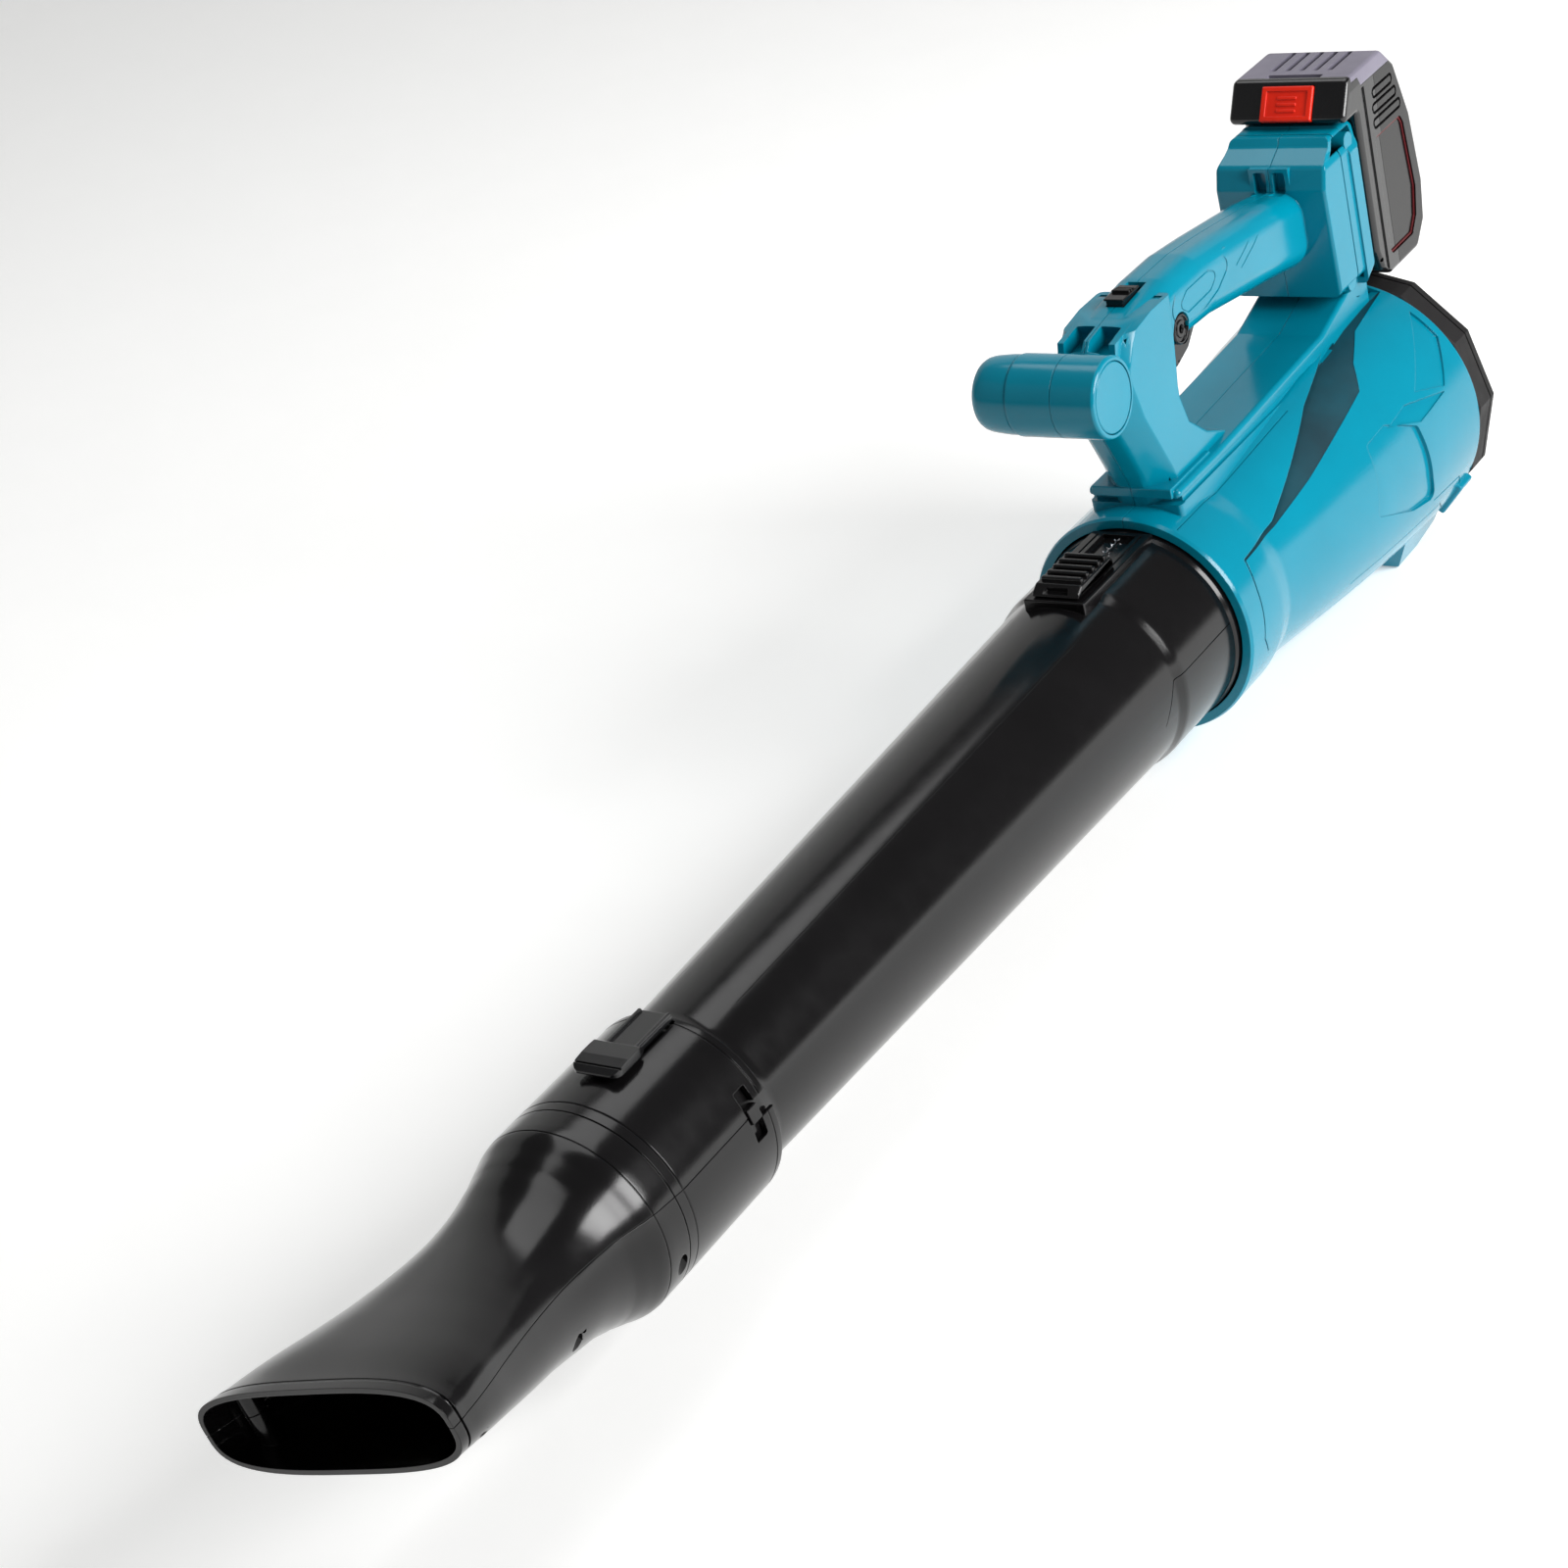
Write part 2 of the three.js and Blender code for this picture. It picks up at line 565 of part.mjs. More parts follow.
function lockSlider() {
  const top = HANDLE_TOP;
  return union(
    box(-7, 7, 29, 48, top - WALL - 5.4, top - WALL - 3.6),
    box(-4.7, 4.7, 31, 47, top - WALL - 4, top + 1),
    box(-5.6, 5.6, 30.4, 48, top + 0.4, top + 1.6),
    box(-5.6, 5.6, 38, 41, top + 1, top + 3),
  );
}

const speedController = () => box(-22, 22, 214, 217, 100, 132);
const collarSeal = () => turned([
  [COLLAR_BORE - 6.2, 29], [COLLAR_BORE - 0.4, 29], [COLLAR_BORE - 0.4, 33], [COLLAR_BORE - 6.2, 33],
], ROUND);

function powerLead(side) {
  return wire([
    [side * 8, 241, 127], [side * 8, 236, 130], [side * 8, 226, 137], [side * 8, 212, 142],
    [side * 8.5, 192, 143], [side * 10, 170, 144], [side * 10, 140, 144.4], [side * 10, 118, 142.4],
    [side * 8.5, 112, 147], [side * 7, 105.6, 151.5],
  ], 1.5, 20);
}

function motorLead() {
  return wire([
    [0, 60.8, 150.4], [0, 54, 144.4], [0, 42, 137], [0, 27, 127], [0, 20, 112], [0, 21, 96],
    [0, 26, 80], [0, 31, 71], [0, 44, 64.5], [0, 70, 63], [0, 100, 62.4], [0, 122, 60], [0, 131, 51],
    [0, 132, 36], [0, 132, 24.4],
  ], 1.6, 28);
}

// ---------------------------------------------------------------- battery pack
const packOutline = [
  [SHOE_BACK - 18, SHOE_TOP + 1.2], [SHOE_BACK - 4, PACK_TOP], [290, PACK_TOP], [303, 184],
  [PACK_BACK - 4, 152],
  [PACK_BACK, 112], [PACK_BACK - 4, 90], [302, PACK_BOTTOM], [266, PACK_BOTTOM], [256, 84],
  [SHOE_BACK + 1, 96], [SHOE_BACK + 1, SHOE_TOP + 1.2],
];
const BUTTON_MIDDLE = new THREE.Vector3(0, SHOE_BACK - 11, (SHOE_TOP + 1.2 + PACK_TOP) / 2);
const BUTTON_LEAN = Math.atan2(14, PACK_TOP - SHOE_TOP - 1.2);
const BUTTON_OUT = new THREE.Vector3(0, -Math.cos(BUTTON_LEAN), Math.sin(BUTTON_LEAN));

// Box whose flat side lies on the sloping front face of the pack, from `deep` below it to `proud` above.
function onButtonFace(halfWidth, halfHeight, deep, proud) {
  const geometry = new THREE.BoxGeometry(2 * halfWidth, deep + proud, 2 * halfHeight);
  geometry.translate(0, (deep - proud) / 2, 0);
  geometry.rotateX(-BUTTON_LEAN);
  geometry.translate(BUTTON_MIDDLE.x, BUTTON_MIDDLE.y, BUTTON_MIDDLE.z);
  return solidOf(geometry);
}

function packShell() {
  const hollow = [
    [SHOE_BACK + 1 + TONGUE_DEPTH + 2.4, 170], [SHOE_BACK + 1 + TONGUE_DEPTH + 2.4, PACK_TOP - PACK_WALL],
    [289, PACK_TOP - PACK_WALL], [301, 182.6],
    [PACK_BACK - 4 - PACK_WALL, 151.6], [PACK_BACK - PACK_WALL, 112],
    [PACK_BACK - 4 - PACK_WALL, 91], [301, PACK_BOTTOM + PACK_WALL],
    [SHOE_BACK + 9.4, PACK_BOTTOM + PACK_WALL],
  ];
  const channel = box(-TONGUE_HALF_WIDTH - 0.4, TONGUE_HALF_WIDTH + 0.4,
    SHOE_BACK, SHOE_BACK + TONGUE_DEPTH + 0.6, PACK_BOTTOM - 2, 166.6);
  return wideSide(packOutline, PACK_HALF_WIDTH, 3)
    .subtract(wideSide(hollow, PACK_HALF_WIDTH - PACK_WALL))
    .subtract(channel)
    .subtract(box(-12.3, 12.3, SHOE_BACK + TONGUE_DEPTH, CONTACT_BACK + GAP, 110, 144))
    .subtract(onButtonFace(BUTTON_HALF_WIDTH + GAP, BUTTON_HALF_HEIGHT + GAP, 9, 4));
}

const packFront = () => packShell().subtract(box(-50, 50, PACK_SPLIT - 0.15, 400, 0, 300));
const packBack = () => packShell().subtract(box(-50, 50, 200, PACK_SPLIT + 0.15, 0, 300));

function cellBlock() {
  const cells = [];
  for (let row = 0; row < 5; row += 1) {
    for (let column = 0; column < 2; column += 1) {
      cells.push(crossBar(272 + 18 * column, 93 + 18.4 * row, -30, 30, 9.4, 10));
    }
  }
  return union(...cells, box(-4, 4, 270, 292, 90, 168));
}

const packContacts = () => box(-12, 12, CONTACT_BACK - 1, CONTACT_BACK, 112, 142);
const packButton = () => onButtonFace(BUTTON_HALF_WIDTH, BUTTON_HALF_HEIGHT, 2.6, 1.6);

function buttonSpring() {
  const base = BUTTON_MIDDLE.clone().addScaledVector(BUTTON_OUT, -8.5);
  return coilSpring(base.toArray(), BUTTON_OUT.toArray(), 5.2, 3.2, 0.45, 4);
}

function terminalBlock() {
  const block = box(-14, 14, SHOE_BACK - 9, SHOE_BACK + TONGUE_DEPTH - 0.2, 108.3, 145.7);
  return block.subtract(box(-9.3, -6.7, SHOE_BACK - 2, 280, 114, 140))
    .subtract(box(6.7, 9.3, SHOE_BACK - 2, 280, 114, 140));
}

const terminalBlade = (x) => box(x - 0.6, x + 0.6, SHOE_BACK - 1.6, SHOE_BACK + TONGUE_DEPTH, 116, 138);

// ---------------------------------------------------------------- tube
const tubeOutside = [
  [SPIGOT_R, SPIGOT_LENGTH], [SPIGOT_R, -2], [SPIGOT_R - 1, -4], [SPIGOT_R - 1.4, TUBE_STEP_Y + 8],
  [TUBE_REAR_R, TUBE_STEP_Y], [TUBE_FRONT_R, SLEEVE_BACK + 4],
  [SLEEVE_R - SLEEVE_WALL - 0.4, SLEEVE_BACK - 4], [SLEEVE_R - SLEEVE_WALL - 0.4, TUBE_END_Y],
];
const TRACK_TOP = 54.5;
const LUG_Y = SLEEVE_BACK - 13;

function mainTube() {
  const profile = [...tubeOutside, ...tubeOutside.map(([r, y]) => [r - TUBE_WALL, y]).reverse()];
  const track = box(-17, 17, -76, -1.5, 40, TRACK_TOP)
    .subtract(turned([[0, -80], [TUBE_REAR_R - 1, -80], [SPIGOT_R - 1.6, -50], [SPIGOT_R - 1.6, 2], [0, 2]]));
  const groove = box(-9.3, 9.3, -70, -5, 52, 60);
  const lug = new THREE.BoxGeometry(4, 7, 7);
  lug.translate(SLEEVE_R - 2.3, LUG_Y, 0);
  lug.rotateY(-NOZZLE_TURN);
  return turned(profile).add(track).subtract(groove).add(solidOf(lug));
}

function tubeSlider() {
  const ribs = [];
  for (let i = 0; i < 5; i += 1) ribs.push(box(-12, 12, -66 + 6 * i, -63 + 6 * i, 59.5, 62));
  return union(
    box(-8.9, 8.9, -67, -42, 52.3, 55.5),
    sidePlate([[-74, 54.9], [-72, 58], [-68, 60], [-38, 60], [-36, 58], [-36, 54.9]], -13, 13, 1),
    ...ribs,
  );
}

const tubeSliderSpring = () => coilSpring([0, -40.8, 53.6], [0, 1, 0], 34, 0.8, 0.35, 8);

// ---------------------------------------------------------------- coupling sleeve
const LATCH_HALF_WIDTH = 8.5;

function couplingSleeve() {
  const ring = turned([
    [SLEEVE_R - SLEEVE_WALL, SLEEVE_BACK], [SLEEVE_R - 0.6, SLEEVE_BACK], [SLEEVE_R, SLEEVE_BACK - 2],
    [SLEEVE_R, SLEEVE_FRONT], [SLEEVE_R - SLEEVE_WALL, SLEEVE_FRONT],
  ]);
  const bar16 = new THREE.BoxGeometry(12, 8, 24);
  bar16.translate(SLEEVE_R - 1, LUG_Y, 0);
  const stem = new THREE.BoxGeometry(12, 20, 8.4);
  stem.translate(SLEEVE_R - 1, LUG_Y + 10, 0);
  const slot = [bar16, stem].map((piece) => solidOf(piece.rotateY(-NOZZLE_TURN)));
  const latchWindow = box(-LATCH_HALF_WIDTH - GAP, LATCH_HALF_WIDTH + GAP,
    SLEEVE_BACK - 40, SLEEVE_BACK - 3, SLEEVE_R - 7.2, SLEEVE_R + 12.8);
  return ring.subtract(union(...slot)).subtract(latchWindow);
}

// Push latch: a tongue in the sleeve's window, with a wide thumb pad standing over the sleeve.
function nozzleLatch() {
  return union(
    box(-LATCH_HALF_WIDTH, LATCH_HALF_WIDTH, SLEEVE_BACK - 39.6, SLEEVE_BACK - 3.4,
      SLEEVE_R + 0.2, SLEEVE_R + 2.2),
    sidePlate([
      [SLEEVE_BACK - 50, SLEEVE_R + 1.9], [SLEEVE_BACK - 48, SLEEVE_R + 4.4],
      [SLEEVE_BACK - 40, SLEEVE_R + 5.8],
      [SLEEVE_BACK - 31, SLEEVE_R + 5.8], [SLEEVE_BACK - 26, SLEEVE_R + 1.9],
    ], -12, 12),
  );
}

const latchSpring = () => coilSpring([0, SLEEVE_BACK - 24, SLEEVE_R - 2.3], [0, 0, 1], 1.9, 3, 0.4, 2);

// ---------------------------------------------------------------- nozzle
// Sections along the nozzle: [y, half width, half height, rise of the middle, squareness].
const nozzleSections = [
  [SLEEVE_FRONT - 0.4, SLEEVE_R, SLEEVE_R, 0, 2],
  [SLEEVE_FRONT - 22, SLEEVE_R, SLEEVE_R, 0, 2],
  [SLEEVE_FRONT - 38, 42, 40.5, 1, 2],
  [SLEEVE_FRONT - 70, 43, 32.5, 1.5, 2.2],
  [MOUTH_Y + 63, 52, 27.4, 5.8, 2.6],
  [MOUTH_Y + 27, 64.4, 23.2, 12.2, 3],
  [MOUTH_Y, MOUTH_HALF_WIDTH, MOUTH_HALF_HEIGHT, MOUTH_RISE, 3.2],
];

function nozzleRing([y, halfWidth, halfHeight, rise, power], thinner = 0) {
  const ring = [];
  for (let i = 0; i < ROUND; i += 1) {
    const angle = 2 * Math.PI * i / ROUND;
    const [c, s] = [Math.cos(angle), Math.sin(angle)];
    const x = Math.sign(c) * Math.abs(c) ** (2 / power) * (halfWidth - thinner);
    const z = Math.sign(s) * Math.abs(s) ** (2 / power) * (halfHeight - thinner) + rise;
    ring.push(new THREE.Vector3(x, y, z));
  }
  return ring;
}

// Screws that join the nozzle halves, as [side, y, z of the parting plane there, x].
const nozzleScrews = [
  [SLEEVE_FRONT - 11, SLEEVE_R - 9.7], [SLEEVE_FRONT - 76, 36.5], [MOUTH_Y + 17, 59],
].flatMap(([y, x]) => [1, -1].map((side) => ({ y, x: side * x })));
const partingHeight = (y) => Math.max(0, (SLEEVE_FRONT - y) * MOUTH_RISE / (SLEEVE_FRONT - MOUTH_Y));

function nozzleSolid() {
  const outer = loft(nozzleSections.map((section) => nozzleRing(section)));
  const inner = loft([
    nozzleRing([SLEEVE_FRONT + 20, SLEEVE_R - 7.8, SLEEVE_R - 7.8, 0, 2]),
    nozzleRing([SLEEVE_FRONT - 22, SLEEVE_R - 7.8, SLEEVE_R - 7.8, 0, 2]),
    ...nozzleSections.slice(2).map((section) => nozzleRing(section, NOZZLE_WALL)),
    nozzleRing([MOUTH_Y - 2, MOUTH_HALF_WIDTH, MOUTH_HALF_HEIGHT, MOUTH_RISE, 3.2], NOZZLE_WALL),
  ]);
  const spigot = turned([
    [SLEEVE_R - 8.2, SLEEVE_FRONT - 1], [SLEEVE_R - SLEEVE_WALL - 0.4, SLEEVE_FRONT - 1],
    [SLEEVE_R - SLEEVE_WALL - 0.4, TUBE_END_Y - 2.4],
    [SLEEVE_R - 8.2, TUBE_END_Y - 2.4],
  ]);
  const bosses = nozzleScrews.map(({ x, y }) => {
    const middle = partingHeight(y);
    return bar([x, y, middle - 34], [x, y, middle + 10], 4.8, 12);
  });
  return union(outer, spigot).subtract(inner).add(union(...bosses).intersect(outer));
}

function screwPocket({ x, y }) {
  const middle = partingHeight(y);
  return bar([x, y, middle - 40], [x, y, middle + 7], SCREW_R - 0.4 + GAP, 12)
    .add(bar([x, y, middle - 60], [x, y, middle - 7], 3 + GAP, 12));
}

function nozzleHalf(above) {
  const rise = Math.atan2(MOUTH_RISE, SLEEVE_FRONT - MOUTH_Y);
  const cutter = new THREE.BoxGeometry(300, 400, 200);
  cutter.translate(0, -100, above ? -100 + 0.15 : 100 - 0.15);
  cutter.rotateX(-rise);
  cutter.translate(0, SLEEVE_FRONT, 0);
  return nozzleSolid().subtract(solidOf(cutter)).subtract(union(...nozzleScrews.map(screwPocket)));
}

function nozzleScrew({ x, y }) {
  const middle = partingHeight(y);
  return bar([x, y, middle - 8.5], [x, y, middle + 6.5], SCREW_R - 0.4, 12)
    .add(bar([x, y, middle - 10.5], [x, y, middle - 8], 3, 12));
}

// ---------------------------------------------------------------- fasteners of the body
const housingScrew = ([y, z]) => crossBar(y, z, HEAD_DEPTH - SCREW_REACH - 0.1, SCREW_REACH, SCREW_R, 10)
  .add(crossBar(y, z, -SCREW_REACH, HEAD_DEPTH - SCREW_REACH, SCREW_HEAD_R, 10));

// ---------------------------------------------------------------- assembly
const blower = new THREE.Group();
const aroundAxis = new THREE.Group();
aroundAxis.position.set(0, -FOOT_Y, AXIS_HEIGHT);
blower.add(aroundAxis);
const nozzleGroup = new THREE.Group();
nozzleGroup.rotation.y = -NOZZLE_TURN;
aroundAxis.add(nozzleGroup);

function add(name, solid, finish, parent = aroundAxis) {
  const mesh = new THREE.Mesh(geometryOf(solid), new THREE.MeshStandardMaterial(finishes[finish]));
  mesh.name = name;
  parent.add(mesh);
}

const shell = housing();
add('housing_left', shell.subtract(box(-200, GAP / 2, -200, 500, -300, 300)), 'teal');
add('housing_right', shell.subtract(box(-GAP / 2, 200, -200, 500, -300, 300)), 'teal');
screwPlaces.forEach((place, i) => add(`housing_screw_${i + 1}`, housingScrew(place), 'steel'));

add('intake_ring', intakeRing(), 'dark');
add('intake_grille', intakeGrille(), 'dark');
add('fan_duct', fanDuct(), 'dark');
add('tail_cone', tailCone(), 'dark');
add('motor_can', motorCan(), 'steel');
add('bearing_front', bearing(MOTOR_FRONT + 0.5), 'steel');
add('bearing_rear', bearing(MOTOR_BACK - 5.5), 'steel');
add('motor_shaft', motorShaft(), 'steel');
add('motor_rotor', motorRotor(), 'dark');
add('fan_wheel', fanWheel(), 'black');
add('fan_nut', fanNut(), 'steel');

add('side_knob', sideKnob(), 'teal');
add('side_knob_bolt', knobBolt(), 'steel');
add('side_knob_cap', knobCap(), 'teal');

add('trigger', trigger(), 'black');
add('trigger_pin', triggerPin(), 'steel');
add('trigger_spring', triggerSpring(), 'steel');
add('switch_module', switchModule(), 'dark');
add('lock_slider', lockSlider(), 'black');
add('speed_controller', speedController(), 'green');
add('power_lead_left', powerLead(1), 'wire');
add('power_lead_right', powerLead(-1), 'dark');
add('motor_lead', motorLead(), 'wire');
add('collar_seal', collarSeal(), 'rubber');
add('terminal_block', terminalBlock(), 'black');
add('terminal_blade_left', terminalBlade(8), 'brass');
add('terminal_blade_right', terminalBlade(-8), 'brass');

add('pack_front_shell', packFront(), 'black');
add('pack_back_shell', packBack(), 'black');
add('cell_block', cellBlock(), 'cells');
add('pack_contacts', packContacts(), 'brass');
add('pack_release_button', packButton(), 'red');
add('pack_button_spring', buttonSpring(), 'steel');

add('main_tube', mainTube(), 'black');
add('tube_release_slider', tubeSlider(), 'black');
add('tube_slider_spring', tubeSliderSpring(), 'steel');
add('coupling_sleeve', couplingSleeve(), 'black');
add('nozzle_latch', nozzleLatch(), 'black');
add('latch_spring', latchSpring(), 'steel');
add('nozzle_upper', nozzleHalf(true), 'black', nozzleGroup);
add('nozzle_lower', nozzleHalf(false), 'black', nozzleGroup);
nozzleScrews.forEach((place, i) => add(`nozzle_screw_${i + 1}`, nozzleScrew(place), 'steel', nozzleGroup));

export default blower;
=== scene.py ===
"""Leaf blower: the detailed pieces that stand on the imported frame.

Shapes are drawn in millimetres about the air axis of the blower, with the front
rim of the collar at y = 0, and are moved to the frame when each piece is done.
"""
import math

import bmesh
import bpy
from bpy.props import FloatProperty, PointerProperty, StringProperty
from mathutils import Matrix, Vector


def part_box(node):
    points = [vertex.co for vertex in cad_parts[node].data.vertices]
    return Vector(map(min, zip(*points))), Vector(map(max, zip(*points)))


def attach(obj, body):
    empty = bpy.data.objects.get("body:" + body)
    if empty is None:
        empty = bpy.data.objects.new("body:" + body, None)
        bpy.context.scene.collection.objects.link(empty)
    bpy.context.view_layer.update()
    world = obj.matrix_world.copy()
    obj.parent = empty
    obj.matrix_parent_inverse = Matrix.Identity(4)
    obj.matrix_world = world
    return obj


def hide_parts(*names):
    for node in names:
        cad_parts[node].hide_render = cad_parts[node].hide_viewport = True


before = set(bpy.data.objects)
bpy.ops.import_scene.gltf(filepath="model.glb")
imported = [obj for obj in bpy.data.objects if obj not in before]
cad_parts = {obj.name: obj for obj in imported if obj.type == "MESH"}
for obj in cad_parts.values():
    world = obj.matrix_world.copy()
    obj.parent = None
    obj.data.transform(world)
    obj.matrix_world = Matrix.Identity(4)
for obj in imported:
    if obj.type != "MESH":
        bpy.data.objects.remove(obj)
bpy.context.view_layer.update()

bl_info = {
    "name": "Leaf Blower",
    "version": (1, 0, 0),
    "blender": (4, 5, 0),
    "location": "View3D > Sidebar > Leaf Blower",
    "description": "Builds the detailed pieces and the finishes of a cordless leaf blower",
    "category": "Add Mesh",
}

# ---------------------------------------------------------------- main sizes, mm
RING_FRONT = 262.3
RING_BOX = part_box("intake_ring")
AXIS_HEIGHT = 500 * (RING_BOX[0][2] + RING_BOX[1][2])
TO_FRAME = (
    Matrix.Translation((0, RING_BOX[0][1] - RING_FRONT / 1000, AXIS_HEIGHT / 1000))
    @ Matrix.Scale(0.001, 4)
)
HANDLE_TOP = 164.5
PIVOT = (61, 137)
GRIP_HALF = 17.5  # half widths of the grip, the shoe and the pack
SHOE_HALF = 33
PACK_HALF = 34
PACK_PARTING = 276
SHARP_ANGLE = math.radians(24)  # edges that turn more than this stay sharp
SHOE_BACK = 251
SHOE_TOP = 173.5
BODY_LENGTH = 262
WALL = 2.6
COLLAR_BORE = 55.6
COLLAR_DEPTH = 52
UNROLLED = 70.0  # radius at which outlines on a round wall are laid flat
KNOB = (-25, 140)
BOSS_RIGHT = -25
BOSS_LEFT = 24
THUMB_DISC = (79, 127.5)
SLEEVE_R = 47.2
SLEEVE_FRONT = -492
MOUTH_Y = -663
MOUTH_RISE = 16
LUG_Y = -439
LUG_CLOCK = Matrix.Rotation(math.radians(-16), 4, "Y")
PACK_TOP = 196
BUTTON_MIDDLE = Vector((0, SHOE_BACK - 11, (SHOE_TOP + 1.2 + PACK_TOP) / 2))
BUTTON_LEAN = math.atan2(14, PACK_TOP - SHOE_TOP - 1.2)

BODY_OUTSIDE = [
    (0, 60), (2, 61), (34, 61), (41, 60), (48, 58.8), (52, 58.6), (70, 60.3), (95, 63.2), (120, 66),
    (152, 69.3), (184, 72), (214, 74), (240, 75), (BODY_LENGTH, 75),
]
BODY_BORE = [(120, 63.4), (184, 69.4), (240, 72.4), (BODY_LENGTH + 1, 72.4)]
COLUMN_RINGS = [
    (50, 15, 90), (66, 14.6, 90), (70, 14.2, 86), (79, 10.5, 66), (92, 4, 50), (108, -4, 45), (114, -7, 45.3),
    (128, -11, 48), (138, -14, 49.6), (146, -10, 50.6), (154, -5, 51.6), (158, -1, 51.8), (160.5, 16, 52),
]
GRIP = [
    (-2, 157.5), (20, 161), (60, HANDLE_TOP), (90, HANDLE_TOP), (120, 161.5), (180, 154), (215, 147.5),
    (215, 106), (180, 113), (140, 119.5), (100, 126), (60, 128), (-4, 134),
]
SADDLE = [(16, 40), (15, 70), (60, 70), (190, 75), (222, 84), (240, 90), (SHOE_BACK, 90), (SHOE_BACK, 40)]
SHOE = [
    (208, 84), (206, 150), (210, 162), (222, 168), (226, SHOE_TOP), (SHOE_BACK, SHOE_TOP), (SHOE_BACK, 90),
    (230, 80),
]
SCREWS = [
    (38, 84, 20), (6, 134, 20), (44, 150.5, 20), (118, 151, 17.5), (176, 130, 17.5), (241, 164, 33),
    (222, 92, 33), (225, -71, 34), (249, -69, 34),
]
TUBE_OUTSIDE = [
    (54.6, 28), (54.6, -2), (53.6, -4), (53.2, -54), (52.6, -58), (51.4, -61), (51.2, -64), (46.5, -242),
    (41.8, -418), (42.3, -423), (43.8, -428), (44.2, -432), (44.2, -480),
]
NOZZLE = [
    (SLEEVE_FRONT - 0.4, SLEEVE_R, SLEEVE_R, 0, 2), (-503, SLEEVE_R, SLEEVE_R, 0, 2),
    (-513, 46.9, 46.9, 0, 2),
    (-521, 44.6, 44.2, 0.4, 2), (-530, 42.3, 40.9, 0.8, 2), (-545, 41.9, 36.2, 1, 2.05),
    (-562, 43, 32.7, 1.5, 2.2), (-580, 46.6, 29.7, 3.4, 2.4), (-600, 52, 27.4, 5.8, 2.6),
    (-618, 57.8, 25.4, 8.8, 2.8), (-636, 64.2, 23.2, 12, 3), (-652, 68.9, 21.1, 14.4, 3.1),
    (MOUTH_Y, 71.5, 20, MOUTH_RISE, 3.2),
]
SPEAR_LOWER = [(20, 61), (60, 60), (100, 56), (140, 50), (175, 45), (190, 35), (215, 26), (260, 22)]
SPEAR_UPPER = [(260, 12), (215, 13), (200, 16), (180, 22.5), (140, 31), (100, 44), (60, 57), (20, 59.6)]
NOZZLE_SCREWS = [(side * x, y) for y, x in ((-503, 37.5), (-568, 36.5), (-646, 59)) for side in (1, -1)]


# ---------------------------------------------------------------- outlines
def between(table, at):
    """Value of a two-column table at a place between its rows."""
    rows = sorted(table)
    if at <= rows[0][0]:
        return rows[0][1]
    for (a, low), (b, high) in zip(rows, rows[1:]):
        if at <= b:
            return low + (high - low) * (at - a) / (b - a)
    return rows[-1][1]


def rounded(outline, radius, steps=5):
    """Closed outline with its corners turned on arcs; a third number is a corner's own radius."""
    corners = []
    for index, point in enumerate(outline):
        here = Vector(point[:2])
        back = Vector(outline[index - 1][:2]) - here
        ahead = Vector(outline[(index + 1) % len(outline)][:2]) - here
        wide = back.angle(ahead)
        size = point[2] if len(point) > 2 else radius
        if size <= 0 or wide > math.pi - 0.03:
            corners.append(tuple(here))
            continue
        reach = min(size / math.tan(wide / 2), 0.47 * back.length, 0.47 * ahead.length)
        middle = here + (back.normalized() + ahead.normalized()).normalized() * reach / math.cos(wide / 2)
        arm = here + back.normalized() * reach - middle
        turn = arm.angle_signed(here + ahead.normalized() * reach - middle)
        for step in range(steps + 1):
            corners.append(tuple(middle + Matrix.Rotation(-turn * step / steps, 2) @ arm))
    return corners


def inset(outline, distance):
    """Closed outline drawn in by a wall thickness, or out by a negative one."""
    count = len(outline)
    area = sum(a[0] * b[1] - b[0] * a[1] for a, b in zip(outline, outline[1:] + outline[:1]))
    side = math.copysign(1, area)
    drawn = []
    for index in range(count):
        here = Vector(outline[index])
        normals = []
        for start, end in ((Vector(outline[index - 1]), here), (here, Vector(outline[(index + 1) % count]))):
            way = (end - start).normalized()
            normals.append(Vector((-way.y, way.x)) * side)
        miter = normals[0] + normals[1]
        drawn.append(tuple(here + miter * 2 * distance / max(miter.length_squared, 0.4)))
    return drawn


def stroke(points, width):
    """Outline of a line of even width along the points."""
    ways = [(Vector(b) - Vector(a)).normalized() for a, b in zip(points, points[1:])]
    ways = [ways[0]] + ways + [ways[-1]]
    left, right = [], []
    for point, before, after in zip(points, ways, ways[1:]):
        normal = Vector((-before.y - after.y, before.x + after.x))
        reach = normal * width / normal.length_squared
        left.append(tuple(Vector(point) + reach))
        right.append(tuple(Vector(point) - reach))
    return left + right[::-1]


# ---------------------------------------------------------------- solids
def linked(mesh):
    """Working object of a mesh, linked to the scene."""
    made = bpy.data.objects.new("solid", mesh)
    bpy.context.scene.collection.objects.link(made)
    return made


def removed(made):
    """Takes a working object and its mesh out of the file."""
    mesh = made.data
    bpy.data.objects.remove(made)
    bpy.data.meshes.remove(mesh)


def solid(maker):
    """Working object whose closed mesh the bmesh holds, with its normals turned outwards."""
    bmesh.ops.remove_doubles(maker, verts=maker.verts[:], dist=1e-4)
    bmesh.ops.recalc_face_normals(maker, faces=maker.faces[:])
    mesh = bpy.data.meshes.new("solid")
    maker.to_mesh(mesh)
    maker.free()
    return linked(mesh)


